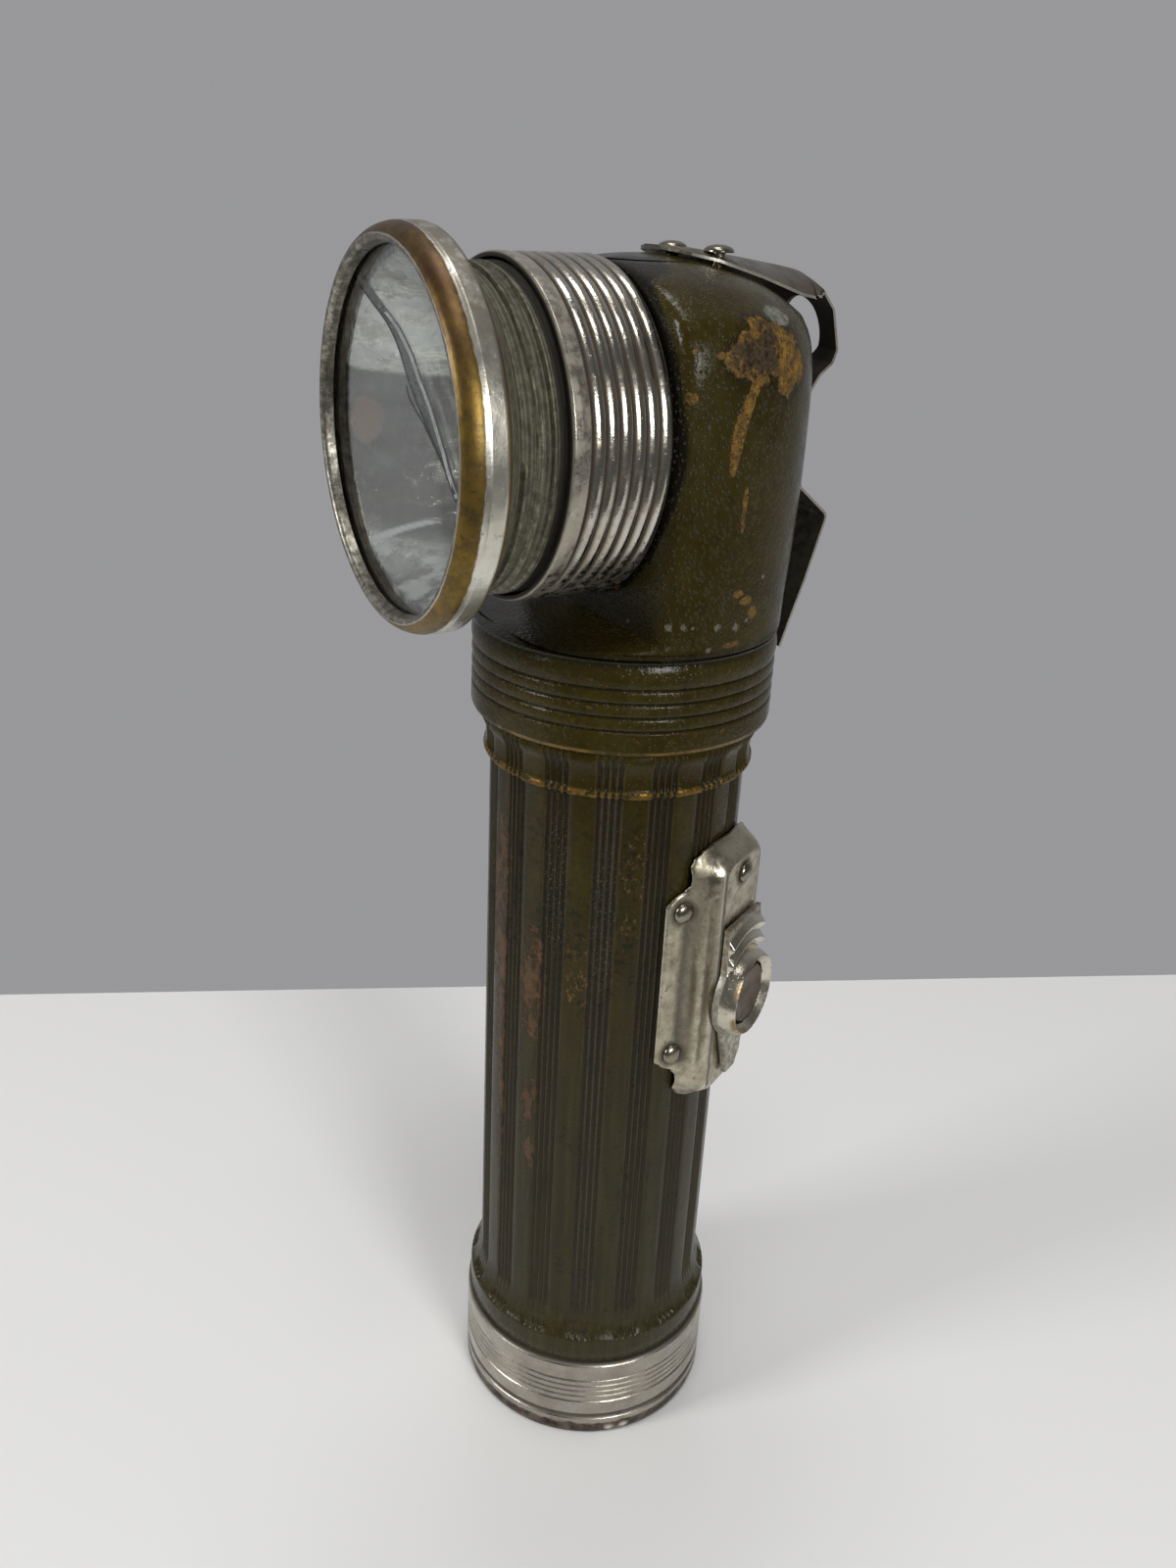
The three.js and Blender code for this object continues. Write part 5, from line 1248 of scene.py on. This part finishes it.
def make_crack():
    """The curved crack of the lens: a grey ribbon, its dark edge and a bright glint."""
    grey = crack_paint("crack_face", (0.19, 0.19, 0.185), 0.22, 0.78)
    dark = crack_paint("crack_edge", (0.035, 0.033, 0.032), 0.3, 0.9)
    bright = crack_paint("crack_glint", (0.99, 0.99, 0.97), 0.3, 1.0)
    lit = CRACK_RIGHT[2:]
    strips = [
        ("crack_ribbon", CRACK_LEFT, CRACK_RIGHT, 34.45, 33.2, grey),
        ("crack_shadow", CRACK_LEFT, beside(CRACK_LEFT, 0.3, 0.16), 34.52, 34.3, dark),
        ("crack_light", beside(lit, -0.4, -0.24), lit, 34.5, 34.0, bright),
        ("crack_hair", CRACK_HAIR, beside(CRACK_HAIR, 0.16, 0.1), 34.53, 34.2, dark),
    ]
    for name, left, right, front, back, material in strips:
        dress(strip_piece(name, left, right, front, back), material, "lens_pack", "lens_glass")


def reflector_piece():
    """Parabolic bowl with a collar round the bulb and a flange under the gasket."""
    rim, depth, hole, flange = 21.0, 17, 6.2, 31.5
    focus = rim ** 2 / (4 * depth)
    bowl = []
    for i in range(33):
        radius = hole + (rim - hole) * i / 32
        bowl.append((radius, flange - depth + radius ** 2 / (4 * focus)))
    collar = bowl[0][1] - 2.4
    back = [(r + 0.4, d) for r, d in reversed(bowl) if d < 30.8]
    outline = [(hole, collar)] + bowl + [(22.6, flange), (22.6, 30.95), (21.4, 30.9)] + back
    return lathe("reflector_bowl", outline + [(6.6, collar)], on_lens, steps=128, sharp=50)


def bulb_piece():
    """Round glass envelope, placed where the CAD bulb starts."""
    base, middle = 14.0, 18.4
    radius, height, wall = 5.2, 4.6, 0.4
    outside = [(3.9, base), (3.9, 15.1), (4.2, 15.7)]
    inside = []
    for i in range(13):
        angle = math.pi / 2 * i / 12
        outside.append((radius * math.cos(angle) if i < 12 else 0.0, middle + height * math.sin(angle)))
        angle = math.pi / 2 * (1 - i / 12)
        reach = (radius - wall) * math.cos(angle) if i else 0.0
        inside.append((reach, middle + (height - wall) * math.sin(angle)))
    inside += [(3.8, 15.9), (3.5, 15.1), (3.5, base)]
    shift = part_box("bulb_glass")[1].y / -MM - base
    rings = [circle(on_lens, radius, distance + shift, 64) for radius, distance in outside + inside]
    return skin("bulb_envelope", rings, loop=True, sharp=60)


# Clip

def clip_stations():
    """(y, z, camber) close together along the clip, with its bends rounded."""
    raw = [(r * HEAD_RADIUS + 0.3, COLLAR_TOP + h * HEAD_HEIGHT + 0.3, c * 2.4) for r, h, c in CLIP_PATH]
    line = soften([(y, z) for y, z, _ in raw], 1.3, 5)
    bent = []
    for (y0, z0), (y1, z1) in zip(line, line[1:]):
        count = max(1, round(math.hypot(y1 - y0, z1 - z0) / 0.8))
        bent += [(y0 + (y1 - y0) * i / count, z0 + (z1 - z0) * i / count) for i in range(count)]
    bent.append(line[-1])
    stations = []
    for y, z in bent:
        best = None
        for (y0, z0, c0), (y1, z1, c1) in zip(raw, raw[1:]):
            along = Vector((y1 - y0, z1 - z0))
            t = max(0.0, min(1.0, (Vector((y - y0, z - z0)).dot(along)) / along.length_squared))
            apart = (Vector((y0, z0)) + along * t - Vector((y, z))).length
            if best is None or apart < best[0]:
                best = (apart, c0 + (c1 - c0) * t)
        if not stations or (Vector((y, z)) - Vector(stations[-1][:2])).length > 0.15:
            stations.append((y, z, best[1]))
    return stations


def clip_piece():
    """Cambered strip, half-round at its near end, with a hang hole through its upright."""
    half_width, thick, across = 8.0, 0.6, 14
    rounding, hole_radius = 0.12, 4.3
    end_middle, top = 8.5, 180
    stations = clip_stations()
    rings = []
    for i, (y, z, camber) in enumerate(stations):
        before, after = stations[max(i - 1, 0)], stations[min(i + 1, len(stations) - 1)]
        along = Vector((after[0] - before[0], after[1] - before[1])).normalized()
        out = Vector((-along.y, along.x))
        ring = []
        half = half_width
        if z > top and y < end_middle:
            half = math.sqrt(max(4.0, half_width ** 2 - (end_middle - y) ** 2))
        for lift, order in ((0.0, range(across + 1)), (thick, range(across, -1, -1))):
            for j in order:
                share = (2 * j / across - 1) * half / half_width
                edge = rounding if j in (0, across) else 0.0
                height = lift - camber * share ** 2 + (edge if lift == 0 else -edge)
                ring.append((share * half_width, y + out.x * height, z + out.y * height))
        rings.append(ring)
    clip = skin("clip_strip", rings, ends=True, sharp=40)
    middle = COLLAR_TOP + 0.812 * HEAD_HEIGHT

    def across_clip(r, a, h):
        return (r * math.cos(a), h, middle + r * math.sin(a))

    outline = [(0, HEAD_RADIUS), (hole_radius, HEAD_RADIUS), (hole_radius, 40), (0, 40)]
    return cut(clip, lathe("hole", outline, across_clip, steps=64), sharp=40)


def rivet_piece(name, radius, base, place, tail=None):
    """Domed head with a shank; place takes (radius, angle, distance)."""
    tail = tail or base - 1.0
    outline = [(0, tail), (RIVET_SHANK, tail), (RIVET_SHANK, base)]
    outline += [(radius - 0.08, base), (radius, base + 0.1)]
    for i in range(1, 9):
        angle = math.pi / 2 * i / 8
        reach = radius * math.cos(angle) if i < 8 else 0.0
        outline.append((reach, base + 0.1 + (RIVET_RISE - 0.1) * math.sin(angle)))
    return lathe(name, outline, place, steps=32, sharp=50)


# Switch

def plate_half_width(height):
    """Half the flange's width, over the tube's arc, at a height above the switch's middle."""
    level = abs(height)
    steps = [(0.0, 11.2), (13.4, 11.2), (14.3, 10.4), (15.6, 8.7), (16.4, 8.3), (19.0, 8.2), (20.2, 7.6),
             (21.0, 6.4), (21.6, 4.9), (21.95, 3.2), (22.05, 0.05)]
    for (z0, w0), (z1, w1) in zip(steps, steps[1:]):
        if level <= z1:
            t = (level - z0) / (z1 - z0)
            return w0 + (w1 - w0) * t * t * (3 - 2 * t)
    return steps[-1][1]


def plate_out(across, height):
    """How far out the plate's face is at a place on the switch."""
    half_width, half_length, corner, steepness = 3.4, 17.0, 2.75, 1.8
    flange = math.sqrt(max(1.0, FLANGE_FACE ** 2 - across ** 2))
    sideways, along = abs(across) - half_width, abs(height) - half_length
    apart = math.hypot(max(sideways, 0), max(along, 0)) + min(max(sideways, along), 0)
    wall = CHANNEL_FACE + steepness * (corner - apart)
    channel = -smooth_max(-wall, -CHANNEL_FACE, 1.7)
    fade = max(0.0, min(1.0, (17.5 - abs(height)) / 2.5))
    crease = -0.22 * math.exp(-((abs(across) - 8.5) / 0.35) ** 2)
    bead = 0.5 * math.exp(-((abs(across) - 7.55) / 0.42) ** 2)
    return smooth_max(flange, channel, 0.8) + fade * (crease + bead)


def pressing(name, half_width, face, back, low, tall, edge, rows, columns, sharp):
    """A pressed sheet on the switch, from low over the height tall, with edge rounded off its rim.

    half_width gives its half width at a height, face how far out its front is at a place, and back
    how far out its back is there.
    """
    rings = []
    for i in range(rows + 1):
        height = low + tall * i / rows
        half = half_width(height)
        upper, lower = [], []
        for j in range(columns + 1):
            across = half * (2 * j / columns - 1)
            rounding = edge if j in (0, columns) or i in (0, rows) else 0.0
            out = face(across, height)
            upper.append(on_switch(out - rounding, across, SWITCH_HEIGHT + height))
            lower.append(on_switch(back(out, rounding), across, SWITCH_HEIGHT + height))
        rings.append(upper + lower[::-1])
    return skin(name, rings, ends=True, sharp=sharp)


def plate_piece():
    """The stamped switch plate."""
    thick = 0.55

    def back(out, rounding):
        return out - thick + rounding

    return pressing("plate_stamping", plate_half_width, plate_out, back, low=-22.0, tall=44.0, edge=0.12,
                    rows=150, columns=96, sharp=45)


def slider_half_width(height):
    """Half the slide's width at a height above the switch's middle."""
    boss = BOSS_MIDDLE - SWITCH_HEIGHT
    boss_radius, half_width, taper = 7.2, 5.4, 0.34
    around = boss_radius ** 2 - (height - boss) ** 2
    straight = half_width
    if boss - height > 3:
        straight = max(0.15, half_width - (boss - height - 3.0) * taper)
    return max(straight, math.sqrt(around) if around > 0 else 0.0)


def slider_out(across, height):
    """How far out the slide's pressed face is: the boss with its dish, and two grip ribs above it."""
    boss = BOSS_MIDDLE - SWITCH_HEIGHT
    dish, rim, foot = 4.95, 6.2, 7.3
    apart = math.hypot(across, height - boss)
    if apart < dish:
        return SLIDER_FACE - 0.05
    cone = SLIDER_FACE + (foot - apart) * 3.0
    drop = 1.2 * (rim - apart) / 1.25 if apart < rim else 1.5 * (apart - rim) ** 2
    crest = BOSS_TOP - 0.02 - drop
    out = smooth_max(SLIDER_FACE, -smooth_max(-cone, -crest, 1.1), 0.35)
    if height > boss + 3:
        ring = apart - foot
        fade = min(1.0, (height - boss - 3) / 2)
        first, second = (math.exp(-((ring - level) / 0.8) ** 2) for level in (1.3, 3.6))
        out += fade * (1.2 * first + 1.05 * second)
    return out


def slider_piece():
    """The pressed thumb slide, with a flat back."""
    def back(out, rounding):
        return SLIDER_BACK

    return pressing("slide_pressing", slider_half_width, slider_out, back, low=-17.8, tall=27.1, edge=0.15,
                    rows=180, columns=90, sharp=40)


def shank_piece():
    """The slide's foot through the plate's slot."""
    rings = []
    for out, across, along in ((20.9, 4.2, 6.0), (21.6, 4.2, 6.0), (21.6, 2.0, 5.0), (22.95, 2.0, 5.0)):
        corners = ((across, along), (-across, along), (-across, -along), (across, -along))
        rings.append([on_switch(out, a, BOSS_MIDDLE + b) for a, b in corners])
    return skin("slide_shank", rings, ends=True)


def button_piece():
    outline = soften([
        (0, 20.1), (1.2, 20.1, 0.1), (1.2, 24.8, 0.1), (4.6, 24.8, 0.2), (4.6, 25.4, 0.3), (4.1, 25.5, 0.3),
        (2.5, 25.32, 1.0), (0, 25.25),
    ], 0.2)

    def on_boss(r, a, h):
        return on_switch(h, r * math.cos(a), BOSS_MIDDLE + r * math.sin(a))

    return lathe("button_disc", outline, on_boss, steps=64)


# Build

def make_rivets(material):
    root = "flashlight_body"
    for side, name in ((-1, "right"), (1, "left")):
        def place(r, a, h):
            return (side * CLIP_RIVET_ACROSS + r * math.cos(a), CLIP_RIVET_BACK + r * math.sin(a), h)

        head = rivet_piece(f"clip_dome_{name}", CLIP_RIVET_RADIUS, CLIP_RIVET_BASE, place, CLIP_RIVET_TAIL)
        dress(head, material, root, "clip_rivets", f"clip_rivet_{name}")
    corners = [(side, end) for side in (-1, 1) for end in (-1, 1)]
    for number, (side, end) in enumerate(corners, 1):
        turn = SWITCH_ANGLE + side * PLATE_RIVET_ARC
        level = SWITCH_HEIGHT + end * PLATE_RIVET_UP

        def place(r, a, h):
            along = r * math.cos(a)
            x, y = h * math.cos(turn) - along * math.sin(turn), h * math.sin(turn) + along * math.cos(turn)
            return (x, y, level + r * math.sin(a))

        head = rivet_piece(f"plate_dome_{number}", PLATE_RIVET_RADIUS, FLANGE_FACE + PLATE_RIVET_GAP, place)
        dress(head, material, root, "plate_rivets", f"plate_rivet_{number}")

    def place(r, a, h):
        return on_switch(h, r * math.cos(a), SWITCH_HEIGHT + CHANNEL_RIVET_UP + r * math.sin(a))

    head = rivet_piece("channel_dome", PLATE_RIVET_RADIUS, CHANNEL_FACE + PLATE_RIVET_GAP, place)
    dress(head, material, root, "plate_rivets", "channel_rivet")


def build():
    root = "flashlight_body"
    case = case_enamel()
    head = head_enamel()
    cap = plated("cap_nickel", (0.42, 0.395, 0.345), (0.24, 0.38), 0.3, cap_groove_shade, cap_marks, cap_surface)
    sleeve = plated("sleeve_nickel", NICKEL, (0.13, 0.26), 0.45, sleeve_dirt_shade, sleeve_marks)
    bezel = plated("bezel_nickel", (0.76, 0.75, 0.67), (0.27, 0.38), 0.4, neck_dirt_shade, bezel_marks,
                   neck_surface)
    clip = plated("clip_nickel", (0.21, 0.19, 0.145), (0.28, 0.44), 0.6, clip_shade_dirt, clip_marks)
    plate = plated("plate_nickel", (0.49, 0.45, 0.345), (0.2, 0.34), 0.6, plate_grime, plate_marks)
    slide = plated("slide_nickel", (0.64, 0.61, 0.51), (0.2, 0.32), 0.6, slide_grime, slide_marks)
    rivets = plated("rivet_nickel", (0.3, 0.28, 0.22), (0.2, 0.32), 0.6)
    brass = plain("inner_brass", (0.48, 0.33, 0.13), 0.35, 1.0, 0.5, (0.12, 0.07, 0.03))
    button = plain("button_brass", (0.08, 0.05, 0.026), 0.32, 0.7, 0.6, (0.03, 0.02, 0.014))
    lens = clear_glass("lens_glass")
    bulb = clear_glass("bulb_glass")

    dress(case_piece(), case, root, "case_enamel", "battery_case")
    dress(head_piece(), head, root, "head_enamel", "head_shell")
    dress(sleeve_piece(), sleeve, root, "sleeve_nickel", "lens_sleeve")
    dress(cap_piece(), cap, "cap", "cap_nickel", "end_cap")
    dress(bezel_piece(), bezel, "bezel", "bezel_nickel", "bezel_ring")
    dress(glass_piece(), lens, "lens_pack", "lens_glass", "lens_glass")
    make_crack()
    dress(reflector_piece(), silver(), "lens_pack", "silvered", "reflector")
    dress(bulb_piece(), bulb, root, "bulb_glass", "bulb_glass")
    dress(clip_piece(), clip, root, "clip_nickel", "belt_clip")
    dress(plate_piece(), plate, root, "plate_nickel", "switch_plate")
    dress(slider_piece(), slide, "slider", "slider_nickel", "switch_slider")
    dress(shank_piece(), slide, "slider", "slider_nickel")
    dress(button_piece(), button, "button", "button_brass", "signal_button")
    make_rivets(rivets)
    dress_inside(brass)


def dress_inside(brass):
    """Materials for the CAD pieces that show only through gaps and the lens."""
    inside = {
        ("socket_bracket", "bulb_socket", "bulb_base", "battery_contact", "tip_contact_strip", "lead_strip",
         "lower_cell_cap", "upper_cell_cap"): brass,
        ("lower_cell_can", "upper_cell_can"): plain("cell_zinc", (0.4, 0.41, 0.42), 0.45, 1.0, 0.5,
                                                    (0.12, 0.12, 0.12)),
        ("lower_cell_jacket", "upper_cell_jacket"): plain("cell_card", (0.03, 0.07, 0.14), 0.6),
        ("lower_cell_seal", "upper_cell_seal", "bulb_insulator"): plain("pitch", (0.02, 0.018, 0.016), 0.55),
        ("cell_liner",): plain("liner_card", (0.3, 0.2, 0.1), 0.8, 0.0, 0.4, (0.12, 0.08, 0.04)),
        ("contact_insulator",): plain("red_fibre", (0.2, 0.06, 0.03), 0.6),
        ("battery_spring",): plain("spring_steel", (0.42, 0.42, 0.41), 0.3, 1.0, 0.5, (0.12, 0.09, 0.06)),
        ("bulb_filament",): plain("filament_wire", (0.35, 0.35, 0.35), 0.35, 1.0, 0.3),
        ("bulb_tip",): plain("bulb_solder", (0.45, 0.45, 0.45), 0.4, 1.0, 0.4),
        ("lens_gasket",): plain("gasket_cork", (0.09, 0.068, 0.045), 0.85, 0.0, 0.6),
    }
    for nodes, material in inside.items():
        for node in nodes:
            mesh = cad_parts[node].data
            mesh.materials.clear()
            mesh.materials.append(material)


# Stage

def heading(azimuth, elevation=0.0):
    """Direction at an azimuth from +X towards +Y."""
    a, e = math.radians(azimuth), math.radians(elevation)
    return Vector((math.cos(a) * math.cos(e), math.sin(a) * math.cos(e), math.sin(e)))


def make_stage():
    """Pale table top, whose far edge is seen behind the object."""
    toward = heading(-23.6)
    side = Vector((-toward.y, toward.x, 0))
    far, close, half = -119.8 * MM, 175 * MM, 420 * MM
    reach = ((close, -half), (close, half), (far, half), (far, -half))
    mesh = bpy.data.meshes.new("table")
    mesh.from_pydata([tuple(toward * a + side * b) for a, b in reach], [], [(0, 1, 2, 3)])
    table = put(bpy.data.objects.new("table", mesh))
    material = bpy.data.materials.new("table_top")
    material.use_nodes = True
    shader = material.node_tree.nodes["Principled BSDF"]
    shader.inputs["Base Color"].default_value = (0.8, 0.795, 0.775, 1)
    shader.inputs["Roughness"].default_value = 0.6
    mesh.materials.append(material)


def area_light(name, power, wide, high, azimuth, elevation):
    """Soft rectangular light, 1 m from the middle of the object and facing it."""
    data = bpy.data.lights.new(name, "AREA")
    data.energy = power
    data.shape = "RECTANGLE"
    data.size, data.size_y = wide * MM, high * MM
    light = put(bpy.data.objects.new(name, data))
    out = heading(azimuth, elevation)
    light.location = Vector((0, 0, 110)) * MM + out * 1000 * MM
    light.rotation_mode = "QUATERNION"
    light.rotation_quaternion = out.to_track_quat("Z", "Y")


def make_light():
    """Two windows, and the ceiling in two parts."""
    area_light("window_right", 5.0, 280, 300, azimuth=-2, elevation=20)
    area_light("window_front", 4.0, 240, 300, azimuth=-97, elevation=24)
    area_light("ceiling_front", 1.7, 300, 200, azimuth=-30, elevation=74)
    area_light("ceiling_back", 1.7, 300, 200, azimuth=170, elevation=78)


def make_room():
    """The room round the table: gloss sees a pale wall behind it and a dimmer room in front of it."""
    world = bpy.data.worlds.new("room")
    bpy.context.scene.world = world
    world.use_nodes = True
    nodes, links = world.node_tree.nodes, world.node_tree.links
    nodes.clear()

    def background(color):
        node = nodes.new("ShaderNodeBackground")
        node.inputs["Color"].default_value = (*color, 1)
        return node.outputs[0]

    def mixed(share, a, b):
        node = nodes.new("ShaderNodeMixShader")
        for socket, value in zip(node.inputs, (share, a, b)):
            links.new(value, socket)
        return node.outputs[0]

    path = nodes.new("ShaderNodeLightPath").outputs
    wall = background((0.315, 0.315, 0.328))
    spread = nodes.new("ShaderNodeVectorMath")
    spread.operation = "DOT_PRODUCT"
    links.new(nodes.new("ShaderNodeTexCoord").outputs["Generated"], spread.inputs[0])
    spread.inputs[1].default_value = (-0.95, 0.31, 0.0)
    behind = nodes.new("ShaderNodeMapRange")
    behind.interpolation_type = "SMOOTHSTEP"
    behind.inputs["From Min"].default_value = -0.2
    behind.inputs["From Max"].default_value = 0.6
    links.new(spread.outputs["Value"], behind.inputs["Value"])
    room = mixed(behind.outputs["Result"], background((0.1, 0.098, 0.095)), wall)
    light = mixed(path["Is Glossy Ray"], background((0.3, 0.3, 0.31)), room)
    seen = nodes.new("ShaderNodeMath")
    seen.operation = "MAXIMUM"
    links.new(path["Is Camera Ray"], seen.inputs[0])
    links.new(path["Is Transmission Ray"], seen.inputs[1])
    links.new(mixed(seen.outputs[0], light, wall), nodes.new("ShaderNodeOutputWorld").inputs[0])


def make_camera():
    """Camera at the photograph's angle: azimuth, elevation and roll in degrees."""
    yaw, pitch, roll = (math.radians(v) for v in (59.37, 23.94, 2.88))
    place = Vector((154.74, -96.35, 193.91))
    back = Vector((math.sin(yaw) * math.cos(pitch), -math.cos(yaw) * math.cos(pitch), math.sin(pitch)))
    right = Vector((math.cos(yaw), math.sin(yaw), 0))
    up = back.cross(right)
    right_rolled = right * math.cos(roll) + up * math.sin(roll)
    up_rolled = up * math.cos(roll) - right * math.sin(roll)
    data = bpy.data.cameras.new("camera")
    data.lens = 30.09
    data.sensor_width = 36
    data.clip_start = 0.01
    camera = put(bpy.data.objects.new("camera", data))
    turn = Matrix((right_rolled, up_rolled, back)).transposed().to_4x4()
    camera.matrix_world = Matrix.Translation(place * MM) @ turn
    bpy.context.scene.camera = camera
    bpy.context.scene.view_settings.view_transform = "Standard"


build()
make_stage()
make_light()
make_room()
make_camera()
